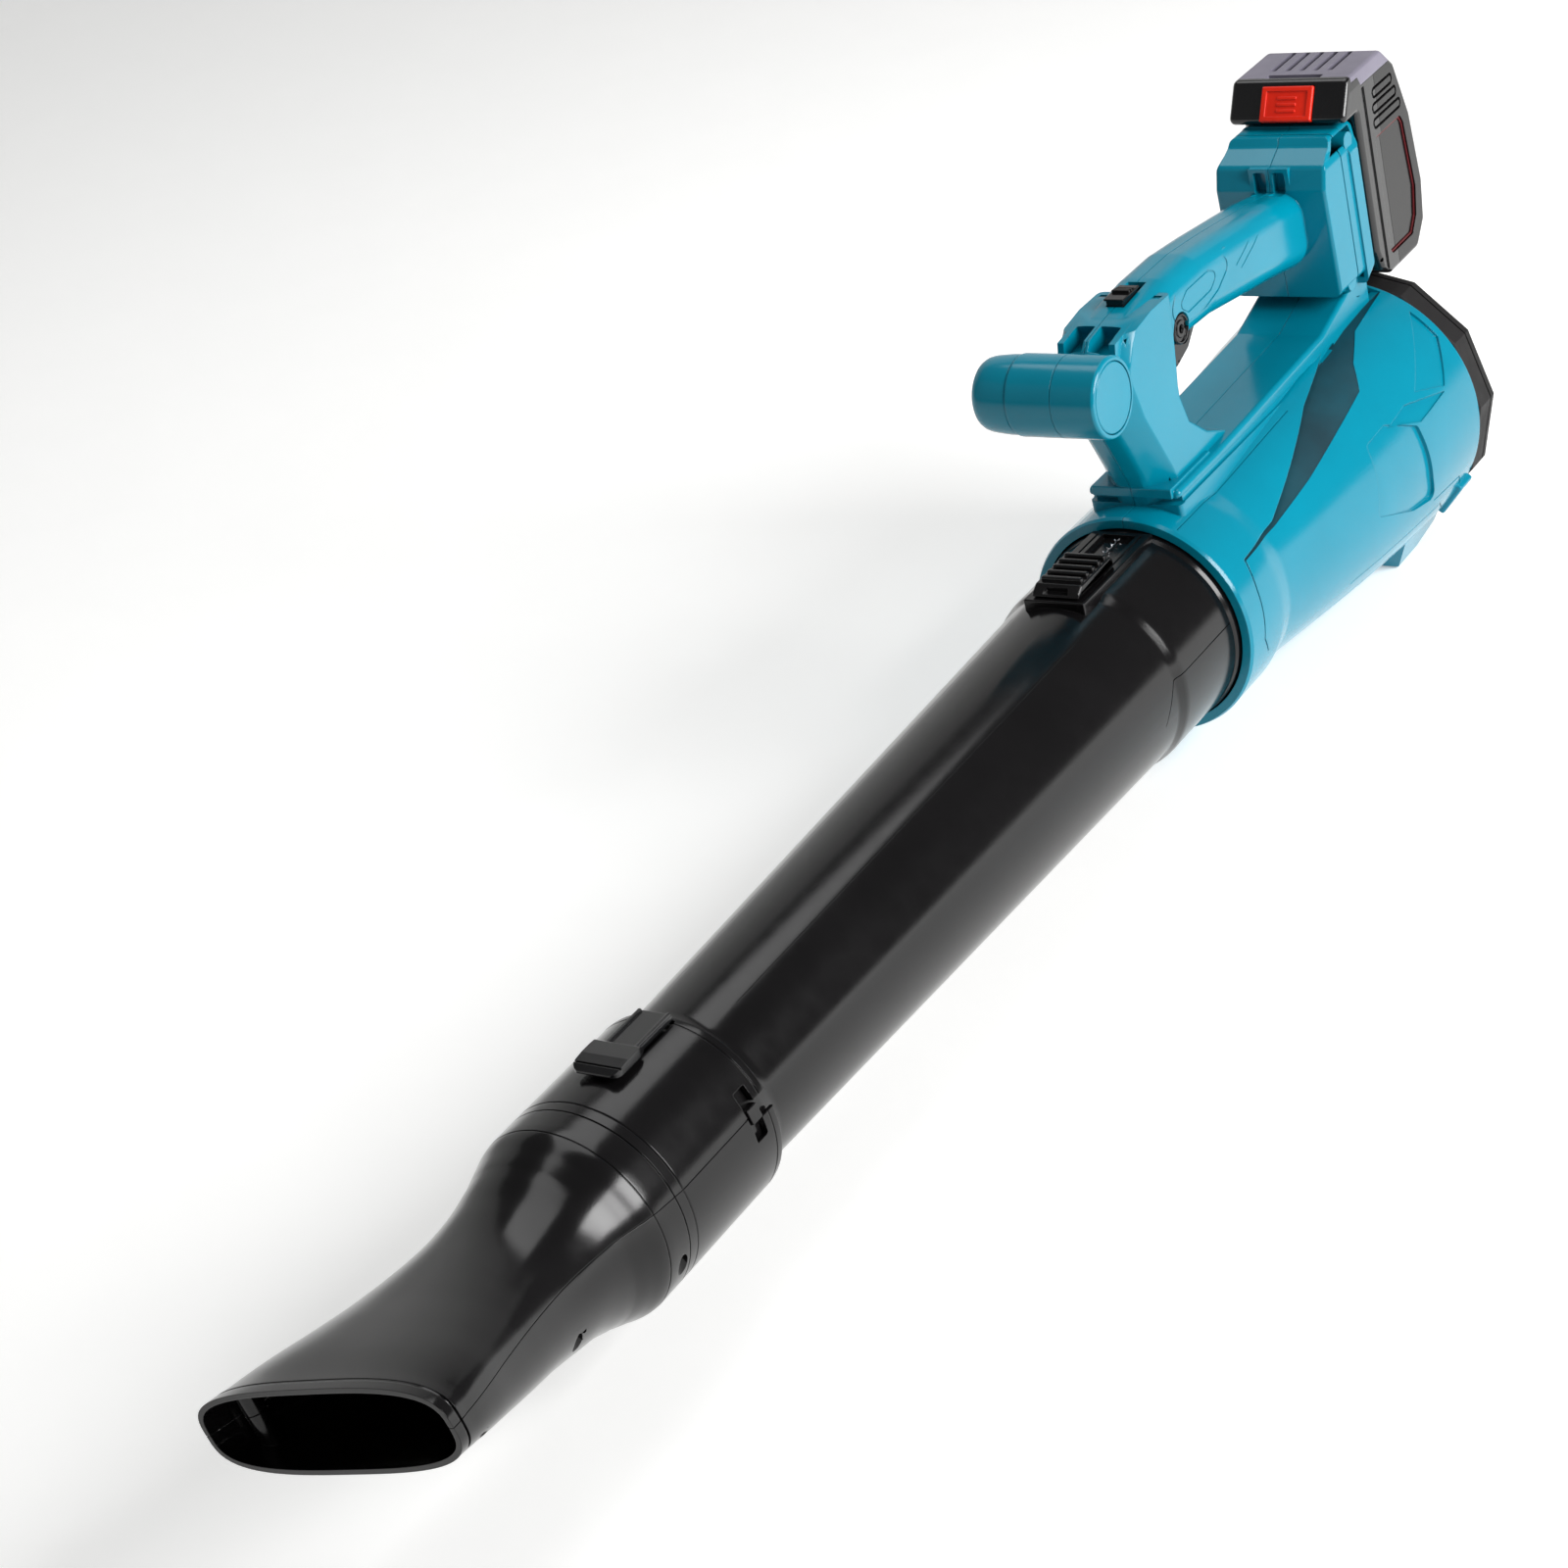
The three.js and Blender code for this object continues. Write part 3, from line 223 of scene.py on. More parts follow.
def prism(outline, low, high, axis="X", edge=0.0, steps=3):
    """Straight solid of an outline; the outline is (y, z) along X, (x, z) along Y and (x, y) along Z."""
    maker = bmesh.new()
    place = {
        "X": lambda a, b, c: (c, a, b),
        "Y": lambda a, b, c: (a, c, b),
        "Z": lambda a, b, c: (a, b, c),
    }[axis]
    base = maker.faces.new([maker.verts.new(place(a, b, low)) for a, b in outline])
    rim = list(base.edges)
    grown = bmesh.ops.extrude_face_region(maker, geom=[base])
    moved = [part for part in grown["geom"] if isinstance(part, bmesh.types.BMVert)]
    bmesh.ops.translate(maker, verts=moved, vec=place(0, 0, high - low))
    rim += [part for part in grown["geom"] if isinstance(part, bmesh.types.BMEdge)]
    bmesh.ops.holes_fill(maker, edges=maker.edges[:])
    if edge > 0:
        bmesh.ops.recalc_face_normals(maker, faces=maker.faces[:])
        bmesh.ops.bevel(
            maker, geom=[each for each in rim if each.is_valid], offset=edge, segments=steps, profile=0.5,
            affect="EDGES", material=-1, clamp_overlap=False,
        )
    return solid(maker)


def block(x0, x1, y0, y1, z0, z1, edge=0.0, steps=2):
    """Box between three pairs of planes, with all its edges rounded."""
    maker = bmesh.new()
    bmesh.ops.create_cube(maker, size=1)
    bmesh.ops.scale(maker, verts=maker.verts[:], vec=(x1 - x0, y1 - y0, z1 - z0))
    bmesh.ops.translate(maker, verts=maker.verts[:], vec=((x0 + x1) / 2, (y0 + y1) / 2, (z0 + z1) / 2))
    if edge > 0:
        bmesh.ops.bevel(
            maker, geom=maker.edges[:], offset=edge, segments=steps, profile=0.5, affect="EDGES",
            material=-1, clamp_overlap=True,
        )
    return solid(maker)


def turned(profile, facets=128, axis="Y", centre=(0, 0)):
    """Solid of revolution of a closed (radius, place) loop about a line along an axis."""
    maker = bmesh.new()
    line = {"Y": Vector((0, 1, 0)), "X": Vector((1, 0, 0)), "Z": Vector((0, 0, 1))}[axis]
    out = {"Y": Vector((0, 0, 1)), "X": Vector((0, 0, 1)), "Z": Vector((1, 0, 0))}[axis]
    shift = {
        "Y": Vector((centre[0], 0, centre[1])),
        "X": Vector((0, centre[0], centre[1])),
        "Z": Vector((centre[0], centre[1], 0)),
    }[axis]
    points = [maker.verts.new(shift + line * place + out * radius) for radius, place in profile]
    loop = [maker.edges.new((a, b)) for a, b in zip(points, points[1:] + points[:1])]
    bmesh.ops.spin(
        maker, geom=points + loop, cent=shift, axis=line, angle=math.tau, steps=facets, use_merge=True,
    )
    bmesh.ops.remove_doubles(maker, verts=maker.verts[:], dist=1e-3)
    bmesh.ops.dissolve_degenerate(maker, dist=1e-5, edges=maker.edges[:])
    return solid(maker)


def rod(start, end, radius, facets=32):
    """Round bar between two points."""
    maker = bmesh.new()
    way = Vector(end) - Vector(start)
    turn = Vector((0, 0, 1)).rotation_difference(way).to_matrix().to_4x4()
    bmesh.ops.create_cone(
        maker, cap_ends=True, segments=facets, radius1=radius, radius2=radius, depth=way.length,
        matrix=Matrix.Translation((Vector(start) + Vector(end)) / 2) @ turn,
    )
    return solid(maker)


def close(maker, rings):
    """Adds the closed skin through rings of equally many points to a bmesh."""
    rows = [[maker.verts.new(point) for point in ring] for ring in rings]
    count = len(rows[0])
    for low, high in zip(rows, rows[1:]):
        for index in range(count):
            after = (index + 1) % count
            maker.faces.new((low[index], low[after], high[after], high[index]))
    maker.faces.new(rows[0][::-1])
    maker.faces.new(rows[-1])


def skin(rings):
    """Closed skin through rings of equally many points."""
    maker = bmesh.new()
    close(maker, rings)
    return solid(maker)


def wrapped(outline, levels, radius_at):
    """Solid that lies on a round wall; the outline is (y, clock in degrees from the top).

    Each level is (how far the outline is drawn in, height over the wall); a height may
    be a function of y and the clock angle.
    """
    flat = [(y, math.radians(clock) * UNROLLED) for y, clock in outline]
    maker = bmesh.new()
    close(maker, [
        [(y, arc, level) for y, arc in (inset(flat, drawn) if drawn else flat)]
        for level, (drawn, _) in enumerate(levels)
    ])
    arcs = [arc for _, arc in flat]
    ys = [y for y, _ in flat]
    step = math.radians(2) * UNROLLED
    cuts = [((0, at, 0), (0, 1, 0)) for at in frange(min(arcs) + step / 2, max(arcs), step)]
    cuts += [((at, 0, 0), (1, 0, 0)) for at in frange(min(ys) + 2, max(ys), 6)]
    for place, normal in cuts:
        bmesh.ops.bisect_plane(
            maker, geom=maker.verts[:] + maker.edges[:] + maker.faces[:], plane_co=place, plane_no=normal,
        )
    for point in maker.verts:
        y, arc, level = point.co
        below = int(level + 1e-6)
        clock = arc / UNROLLED
        heights = [height for _, height in (levels[below], levels[min(below + 1, len(levels) - 1)])]
        low, high = [each(y, math.degrees(clock)) if callable(each) else each for each in heights]
        height = low + (high - low) * (level - below)
        radius = radius_at(y) + height
        point.co = (radius * math.sin(clock), y, radius * math.cos(clock))
    return solid(maker)


def frange(start, stop, step):
    """Even steps between two numbers."""
    return [start + step * index for index in range(max(0, math.ceil((stop - start) / step)))]


def copied(made):
    """Copy of a working object."""
    return linked(made.data.copy())


def mirrored(made):
    """Moves a working object to the other side of the middle plane and returns it."""
    made.data.transform(Matrix.Scale(-1, 4, (1, 0, 0)))
    made.data.flip_normals()
    return made


def both(*made):
    """Working objects, each followed by its mirror image."""
    return [each for one in made for each in (one, mirrored(copied(one)))]


def moved(made, matrix):
    """Moves a working object's mesh and returns it."""
    made.data.transform(matrix)
    return made


def combined(base, *steps):
    """Adds and cuts working objects in order; each step is an operation and one object or a list."""
    tools = []
    for operation, tool in steps:
        for each in tool if isinstance(tool, list) else [tool]:
            change = base.modifiers.new("Boolean", "BOOLEAN")
            change.operation = operation
            change.solver = "MANIFOLD"
            change.object = each
            tools.append(each)
    bpy.context.view_layer.update()
    graph = bpy.context.evaluated_depsgraph_get()
    result = bpy.data.meshes.new_from_object(base.evaluated_get(graph), depsgraph=graph)
    base.modifiers.clear()
    old = base.data
    base.data = result
    bpy.data.meshes.remove(old)
    for each in tools:
        removed(each)
    if not result.polygons:
        raise RuntimeError("A cut or a union left nothing")
    return base


def cut(tools):
    """Step that cuts one working object, or a list of them, out of the base."""
    return "DIFFERENCE", tools


def join(tools):
    """Step that unites one working object, or a list of them, with the base."""
    return "UNION", tools


def keep(tools):
    """Step that keeps only what lies inside a working object."""
    return "INTERSECT", tools


def with_painted_recess_shade(made):
    """Gives the floors of the long recesses the second finish of the piece, a darker teal that is painted
    shade.
    """
    for face in made.data.polygons:
        x, y, z = face.center
        clock = abs(math.degrees(math.atan2(x, z)))
        radius = math.hypot(x, z)
        sunk = body_radius(y) - 5.5 < radius < body_radius(y) - 0.2 and abs(x) > 26
        # sunk faces inside the spear outline get the painted-shade finish
        face.material_index = int(sunk and 22 < y < 259 and inside(SPEAR_LOWER + SPEAR_UPPER, y, clock))
    return made


def placed(made, name, body, slot, material, *nodes):
    """Turns a working object into a finished piece of the model."""
    made.name = name
    made.data.name = name
    made.data.transform(TO_FRAME)
    maker = bmesh.new()
    maker.from_mesh(made.data)
    bmesh.ops.remove_doubles(maker, verts=maker.verts[:], dist=2e-6)
    bmesh.ops.dissolve_degenerate(maker, dist=1e-6, edges=maker.edges[:])
    maker.to_mesh(made.data)
    maker.free()
    shades = [face.material_index for face in made.data.polygons]
    made.data.materials.clear()
    for each in material if isinstance(material, list) else [material]:
        made.data.materials.append(each)
    if isinstance(material, list):
        made.data.polygons.foreach_set("material_index", shades)
    made.data.shade_smooth()
    made.data.set_sharp_from_angle(angle=SHARP_ANGLE)
    weights = made.modifiers.new("Weighted normals", "WEIGHTED_NORMAL")
    weights.keep_sharp = True
    weights.weight = 80
    if nodes:
        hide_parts(*nodes)
    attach(made, body)
    return made


# ---------------------------------------------------------------- finishes
def colour(code):
    """Linear colour of a six-figure sRGB code."""
    parts = [int(code[place:place + 2], 16) / 255 for place in (0, 2, 4)]
    return (*[part / 12.92 if part <= 0.04045 else ((part + 0.055) / 1.055) ** 2.4 for part in parts], 1.0)


def add(tree, kind, inputs=None, **settings):
    """Adds one node; an input given as a socket is linked, and anything else is its value."""
    made = tree.nodes.new(kind)
    for name, value in settings.items():
        setattr(made, name, value)
    for name, value in (inputs or {}).items():
        if isinstance(value, bpy.types.NodeSocket):
            tree.links.new(value, made.inputs[name])
        else:
            made.inputs[name].default_value = value
    return made


def mixed(tree, factor, low, high):
    """Socket of a colour between two others."""
    mix = tree.nodes.new("ShaderNodeMix")
    mix.data_type = "RGBA"
    tree.links.new(factor, mix.inputs[0])
    mix.inputs[6].default_value = low
    mix.inputs[7].default_value = high
    return mix.outputs[2]


def dimmed(tone, share):
    """Linear colour with only a share of its light."""
    return (*[part * share for part in tone[:3]], 1.0)


def emptied(name):
    """New material without nodes, its tree and its Object coordinates in metres."""
    material = bpy.data.materials.new(name)
    material.use_nodes = True
    tree = material.node_tree
    tree.nodes.clear()
    return material, tree, add(tree, "ShaderNodeTexCoord").outputs["Object"]


def finish(name, tone, roughness, grain, height, blotch=0.12, coat=0.0, round_edge=0.5, shade=None, glow=0.0):
    """Surface with a fine grain, slow changes of tone and gloss, and softened edges; sizes in mm."""
    if name in bpy.data.materials:
        return bpy.data.materials[name]
    material, tree, place = emptied(name)
    fine = add(tree, "ShaderNodeTexNoise", {
        "Vector": place, "Scale": 1000 / grain, "Detail": 3.0, "Roughness": 0.6,
    })
    slow = add(tree, "ShaderNodeTexNoise", {
        "Vector": place, "Scale": 1000 / 60, "Detail": 4.0, "Roughness": 0.55, "Distortion": 0.4,
    })
    specks = add(tree, "ShaderNodeTexVoronoi", {"Vector": place, "Scale": 1000 / 9, "Randomness": 1.0})
    high = colour(tone)
    spread = add(tree, "ShaderNodeMapRange", {
        "Value": slow.outputs["Fac"], "From Min": 0.3, "From Max": 0.7, "To Min": 0.0, "To Max": 1.0,
    })
    base = mixed(tree, spread.outputs["Result"], dimmed(colour(shade or tone), 1 - blotch), high)
    gloss = add(tree, "ShaderNodeMapRange", {
        "Value": specks.outputs["Distance"], "From Min": 0.0, "From Max": 0.8,
        "To Min": roughness * 0.9, "To Max": min(1.0, roughness * 1.12),
    })
    edge = add(tree, "ShaderNodeBevel", {"Radius": round_edge / 1000}, samples=4)
    bump = add(tree, "ShaderNodeBump", {
        "Height": fine.outputs["Fac"], "Distance": height / 1000, "Strength": 0.6,
        "Normal": edge.outputs["Normal"],
    })
    shader = add(tree, "ShaderNodeBsdfPrincipled", {
        "Base Color": base, "Roughness": gloss.outputs["Result"], "Specular IOR Level": 0.35,
        "Coat Weight": coat, "Coat Roughness": 0.22, "Emission Color": high, "Emission Strength": glow,
        "Normal": bump.outputs["Normal"],
    })
    add(tree, "ShaderNodeOutputMaterial", {"Surface": shader.outputs["BSDF"]})
    return material


def teal():
    """Moulded glass-filled nylon: satin, with a very fine spark-eroded grain that breaks up the highlight."""
    looks = bpy.context.scene.blower_looks
    return finish("moulded teal nylon", looks.body_tone, looks.body_gloss, 0.55, 0.02, 0.1, round_edge=0.6)


def teal_painted_shade():
    """The same nylon in the long recesses, coloured dark as painted shade, with a coarse grain."""
    return finish("coarse teal nylon", "00424F", 0.6, 0.9, 0.05, 0.15, shade="00303C", round_edge=0.4)


def black():
    """Moulded black ABS: satin and slightly warm, with a fine grain and faint swirls from the moulding."""
    looks = bpy.context.scene.blower_looks
    return finish("moulded black ABS", looks.tube_tone, looks.tube_gloss, 0.7, 0.025, 0.3, round_edge=0.5)


def dark():
    """Matt black polypropylene: coarser grain and hardly any shine, as on the intake ring and the grille."""
    return finish("matt black polypropylene", "151314", 0.6, 0.9, 0.05, 0.25, round_edge=0.7)


def glossy():
    """Polished black ABS: smooth and reflective, as on the front of the battery pack."""
    return finish("polished black ABS", "0B0B0D", 0.2, 0.8, 0.004, 0.2, coat=0.5, round_edge=0.6)


def lilac():
    """Grey polycarbonate lid: satin and a little purple beside the black of the shells."""
    return finish("grey polycarbonate", "7A7684", 0.42, 0.7, 0.02, 0.15, round_edge=0.6)


def red():
    """Red-orange ABS: smooth, with a soft gloss that shows the raised border."""
    return finish("red ABS", "F02A10", 0.34, 0.8, 0.008, 0.12, shade="D51F08", round_edge=0.5)


def garnet():
    """Thin dark red edging round the side panel of the battery pack."""
    return finish("dark red ABS", "5A0F14", 0.4, 0.8, 0.01, 0.2, round_edge=0.3)


def metal(name, tone, roughness, brushed=1.2):
    """Drawn or turned metal: fine streaks along the axis that stretch the highlight across it."""
    if name in bpy.data.materials:
        return bpy.data.materials[name]
    material, tree, place = emptied(name)
    along = add(tree, "ShaderNodeMapping", {"Vector": place, "Scale": (1.0, 0.08, 1.0)})
    streaks = add(tree, "ShaderNodeTexNoise", {
        "Vector": along.outputs["Vector"], "Scale": 1000 / brushed, "Detail": 2.0, "Roughness": 0.7,
    })
    stain = add(tree, "ShaderNodeTexNoise", {"Vector": place, "Scale": 1000 / 14, "Detail": 3.0})
    tint = mixed(tree, stain.outputs["Fac"], dimmed(colour(tone), 0.7), colour(tone))
    gloss = add(tree, "ShaderNodeMapRange", {
        "Value": streaks.outputs["Fac"], "To Min": roughness * 0.75, "To Max": roughness * 1.3,
    })
    bump = add(tree, "ShaderNodeBump", {
        "Height": streaks.outputs["Fac"], "Distance": 0.00002, "Strength": 0.5,
    })
    shader = add(tree, "ShaderNodeBsdfPrincipled", {
        "Base Color": tint, "Roughness": gloss.outputs["Result"], "Metallic": 1.0,
        "Normal": bump.outputs["Normal"],
    })
    add(tree, "ShaderNodeOutputMaterial", {"Surface": shader.outputs["BSDF"]})
    return material


# ---------------------------------------------------------------- parts of the housing
def band(outline, outer, inner, low, high):
    """Ring along X between an outline drawn in by one distance and by another."""
    return combined(
        prism(inset(outline, outer), low, high), cut(prism(inset(outline, inner), low - 3, high + 6)),
    )


def wall_line(points, width):
    """Outline of a line of even width on a round wall, with its points as (y, clock in degrees)."""
    flat = [(y, math.radians(clock) * UNROLLED) for y, clock in points]
    return [(y, math.degrees(arc / UNROLLED)) for y, arc in stroke(flat, width)]


def body_radius(y):
    """Outside radius of the round body."""
    return between(BODY_OUTSIDE, y)


def column_shell():
    """Leaning column between the body and the grip, with its front edges cut back at a slant."""
    rings = []
    for z, front, back in COLUMN_RINGS:
        half = [(0, front), (7, front + 0.6), (10.5, front + 2.6), (19.4, front + 12.6), (20, front + 14)]
        half += [(20, back - 3), (19.2, back - 0.9), (17, back), (0, back)]
        ring = half[:-1] + [(-x, y) for x, y in reversed(half[1:])]
        rings.append([(x, y, z) for x, y in ring])
    return skin(rings)


def foot():
    """Flat-soled foot with flared sides, under the rear of the body."""
    section = rounded([(-34, -79), (34, -79), (45, -59), (45, -45), (-45, -45), (-45, -59)], 3)
    side = rounded([(204, -45), (220, -79), (242, -79), (BODY_LENGTH, -70), (BODY_LENGTH, -45)], 3)
    return combined(prism(section, 200, 266, "Y"), keep(prism(side, -60, 60)))


def shoe():
    """Upright shoe that carries the battery pack: shouldered sides, a stepped rim and a rounded front."""
    side = rounded(SHOE, 5)
    face = rounded([
        (-33, 78), (33, 78), (33, 158, 5), (30.5, 163), (29, SHOE_TOP, 7), (-29, SHOE_TOP, 7), (-30.5, 163),
        (-33, 158, 5),
    ], 2)
    core = combined(
        prism(side, -SHOE_HALF, SHOE_HALF, edge=3.5, steps=5), keep(prism(face, 200, 260, "Y")),
    )
    rim = rounded([
        (-33, 88, 6), (33, 88, 6), (33, 160, 6), (30.6, 166), (29.6, SHOE_TOP, 7), (-29.6, SHOE_TOP, 7),
        (-30.6, 166), (-33, 160, 6),
    ], 2)
    front = combined(
        prism(inset(rim, -8), 198, 238.6, "Y"), cut(prism(inset(rim, 1.1), 190, 250, "Y")),
    )
    line = combined(
        prism(inset(rim, -8), 229, 230, "Y"), cut(prism(inset(rim, 1.8), 225, 235, "Y")),
    )
    return combined(core, cut([front, line]))


def shoe_slots():
    """Slim upright slots on the side of the shoe, one of them crossed by short bars."""
    slots = [prism(rounded([(209, 104), (214, 96), (218, 96), (216, 140), (208, 140)], 1.2), 32.1, 40)]
    for z in (104, 114, 124, 134):
        slots.append(prism(rounded([(222.5, z), (227, z), (226.6, z + 8), (222.1, z + 8)], 1), 31.9, 40))
    slots.append(prism(rounded([(232, 97), (235.2, 97), (235.2, 150), (231.4, 150)], 1), 31.9, 40))
    return both(*slots)


def handle_lines():
    """Shallow lines on the sides of the grip: a leaf shape and two slanting lines beside it."""
    leaf = [
        (52, 147), (62, 157), (84, 159.6), (106, 157), (122, 148.5), (104, 139.6), (82, 135.6), (62, 137.4),
    ]
    lines = [band(rounded(leaf, 9, 6), -0.45, 0.45, 17.05, 24)]
    for points in ([(126, 143), (140, 148), (152, 154)], [(131, 139.6), (146, 144.6), (160, 150.6)]):
        lines.append(prism(stroke(points, 0.45), 17.05, 24))
    ridge = rounded([(70, 142), (96, 142.6), (106, 148), (96, 153), (72, 153), (62, 147.6)], 4)
    lines.append(band(ridge, -0.35, 0.35, 17.1, 24))
    return both(*lines)


def tube_radius(y):
    """Outside radius of the tube."""
    return between([(place, radius) for radius, place in TUBE_OUTSIDE], y)


def spear_floor(y, clock):
    """Floor of the long recess: level with the wall at its lower edge and deep at its upper edge."""
    low, high = between(SPEAR_LOWER, y), between(SPEAR_UPPER, y)
    return -0.3 - 4.6 * max(0.0, min(1.0, (low - clock) / max(6.0, low - high)))


def inside(outline, y, clock):
    """Whether a point of the round wall lies within an outline on it."""
    within = False
    for (a, b), (c, d) in zip(outline, outline[1:] + outline[:1]):
        if (b > clock) != (d > clock) and y < a + (c - a) * (clock - b) / (d - b):
            within = not within
    return within


def body_liner():
    """Extra thickness inside the wall, behind the recesses."""
    outline = [
        (60, 66), (140, 58), (182, 50), (222, 30), (248, 26), (248, 8), (196, 8), (176, 16), (136, 25),
        (60, 52),
    ]
    return both(wrapped(outline, [(0.0, -8.0), (0.0, -1.5)], body_radius))


def body_reliefs():
    """Recesses and lines pressed into the round body, on both sides."""
    hollow = rounded([
        (147, 75), (150, 63), (172, 62), (197, 73), (202, 100), (207, 112), (180, 108), (140, 95),
    ], 3)
    slanted = [(174, 64.6), (195, 62.4), (233, 71), (201, 73.4)]
    facet = [(207, 62), (257, 36), (257, 53), (235, 70)]

    recesses = (
        (SPEAR_LOWER + SPEAR_UPPER, 0.3, spear_floor),
        (hollow, 0.6, lambda y, _: -0.4 - 1.7 * max(0.0, min(1.0, (y - 150) / 48))),
        (slanted, 0.3, lambda _, clock: -0.5 - 1.6 * max(0.0, min(1.0, (74 - clock) / 11))),
        (facet, 0.8, lambda y, _: -0.2 - 1.2 * (y - 207) / 50),
    )
    cuts = [
        wrapped(outline, [(draft, floor), (0.0, 8.0)], body_radius) for outline, draft, floor in recesses
    ]
    for points, width, depth in (
        ([(21, 60.4), (17.5, 75), (15, 100), (21, 110)], 0.9, 1.0),
        ([(207, 113), (240, 114), (259, 131)], 0.8, 0.9),
        ([(120, 122), (222, 121), (250, 140)], 0.7, 0.9),
        ([(96, 133), (228, 132)], 0.7, 0.8),
        ([(4, 27), (130, 27)], 0.5, 0.6),
    ):
        cuts.append(wrapped(wall_line(points, width), [(0.0, -depth), (0.0, 6.0)], body_radius))
    return both(*cuts)


def housing():
    """Whole housing before it is parted at the middle plane."""
    base = turned([(0, 0)] + [(r, y) for y, r in BODY_OUTSIDE] + [(0, BODY_LENGTH)])
    bore = turned(
        [(COLLAR_BORE, -1), (COLLAR_BORE, COLLAR_DEPTH)] + [(r, y) for y, r in BODY_BORE]
        + [(0, BODY_LENGTH + 1), (0, -1)]
    )
    reliefs = body_reliefs()
    grip = prism(rounded(GRIP, 13, 6), -GRIP_HALF, GRIP_HALF, edge=12, steps=9)
    saddle = prism(rounded(SADDLE, 3), -26, 26, edge=2.5, steps=4)
    boss = turned([
        (0, BOSS_RIGHT), (20.2, BOSS_RIGHT), (20.4, BOSS_RIGHT + 1), (20.4, BOSS_LEFT - 1.4),
        (19.8, BOSS_LEFT - 0.4), (19.2, BOSS_LEFT), (0, BOSS_LEFT),
    ], 96, "X", KNOB)
    tongue = block(-20, 20, 249, 257, 98, 166, 0.6)
    lips = []
    for clock in (130, -130):
        lip = block(-11, 11, BODY_LENGTH - 16, BODY_LENGTH, 65.6, 77.6, 1.6, 3)
        lips.append(moved(lip, Matrix.Rotation(math.radians(clock), 4, "Y")))
    rails = [
        prism(rounded([(10, 62.4), (196, 62.4), (203, 66), (196, 66.4), (10, 66.4)], 0.8), 24.6, 30),
        prism(rounded([(8, 62), (20, 62), (20, 66), (8, 66)], 0.6), -30, 30),
    ]
    flange = prism(rounded([(13.4, 66), (13.4, 71.6), (58, 71.6), (60, 66)], 0.8), -22.6, 22.6, edge=0.7)
    base = combined(base, cut(bore), join(body_liner()), cut(reliefs))
    base = combined(
        base, join(column_shell()), join(grip), join(shoe()),
        join(boss), join(tongue), join(foot()), join(lips), join(flange),
        join(combined(saddle, cut(rails[1]), cut(both(rails[0])))),
    )
    column_hollow = inset([
        (22, 60), (20, 78), (2, 112), (-2, 140), (4, 158), (20, 161), (51, 163.5), (48, 128), (45, 108),
        (50, 92), (58, 84), (58, 60),
    ], WALL)
    saddle_hollow = [(24, 50), (24, 67), (190, 71), (220, 78), (240, 84), (247, 84), (247, 50)]
    eyes = [(-3, 149), (17, 150), (11, 162.5), (-8, 162.5)]
    core = [
        (0, -2), (COLLAR_BORE, -2), (COLLAR_BORE, COLLAR_DEPTH), (57, 70), (57, BODY_LENGTH + 2),
        (0, BODY_LENGTH + 2),
    ]
    base = combined(
        base,
        cut(prism(rounded(inset(GRIP, WALL), 8, 3), WALL - GRIP_HALF, GRIP_HALF - WALL, edge=6, steps=4)),
        cut(prism(inset(SHOE, 3), WALL - SHOE_HALF, SHOE_HALF - WALL)),
        cut(prism(column_hollow, -17.4, 17.4)),
        cut(prism(saddle_hollow, -23.4, 23.4)),
        join(prism([(-5, 145), (21, 147), (17, 159.5), (-2, 157)], -16, 16)),
        cut(both(turned([(0, 9), (8.5, 9), (8.5, 30), (0, 30)], 64, "X", PIVOT))),
        join(block(-11.5, 11.5, 207, 215, 146, 162)),
        join([rod((1.5 - half, y, z), (half - 1.5, y, z), 5) for y, z, half in SCREWS]),
        cut(turned(core)),
        cut(both(prism(rounded(eyes, 4), 1.6, 12.5, edge=0.8))),
        cut(both(block(2, 9, 199, 212, 148.5, 160, 1.4))),
        cut(block(-8.4, 8.4, 54, 100, 100, 147)),
        cut(block(-5.1, 5.1, 30.6, 56, 158.5, 166.5)),
        cut(block(-14.3, 14.3, 245, 258, 108, 146)),
        cut(rod((-70, *KNOB), (14, *KNOB), 3.3)),
        cut(rod((13.6, *KNOB), (25, *KNOB), 5.8)),
        cut(rod((22, *KNOB), (25, *KNOB), 17.9, 64)),
        cut([rod((-12, y, z), (12.4, y, z), 2.1, 16) for y, z, _ in SCREWS]),
        cut([rod((-60, y, z), (-9.1, y, z), 3.7, 24) for y, z, _ in SCREWS]),
    )
    return combined(base, cut(shoe_slots()), cut(handle_lines()))


# ---------------------------------------------------------------- operators
class BLOWER_OT_housing(bpy.types.Operator):
    """Both halves of the teal housing: body, column, grip, saddle, shoe and foot"""

    bl_idname = "blower.housing"
    bl_label = "Housing halves"

    def execute(self, context):
        gap = context.scene.blower_shapes.seam / 2
        left = housing()
        right = copied(left)
        left = combined(left, keep(block(gap, 100, -100, 400, -200, 300)))
        right = combined(right, keep(block(-100, -gap, -100, 400, -200, 300)))
        for half, side in ((left, "left"), (right, "right")):
            # the second finish is painted shade on the floors of the long recesses
            placed(with_painted_recess_shade(half), f"housing_shell_{side}", "blower", "body_plastic", [teal(), teal_painted_shade()],
                   f"housing_{side}")
        return {"FINISHED"}


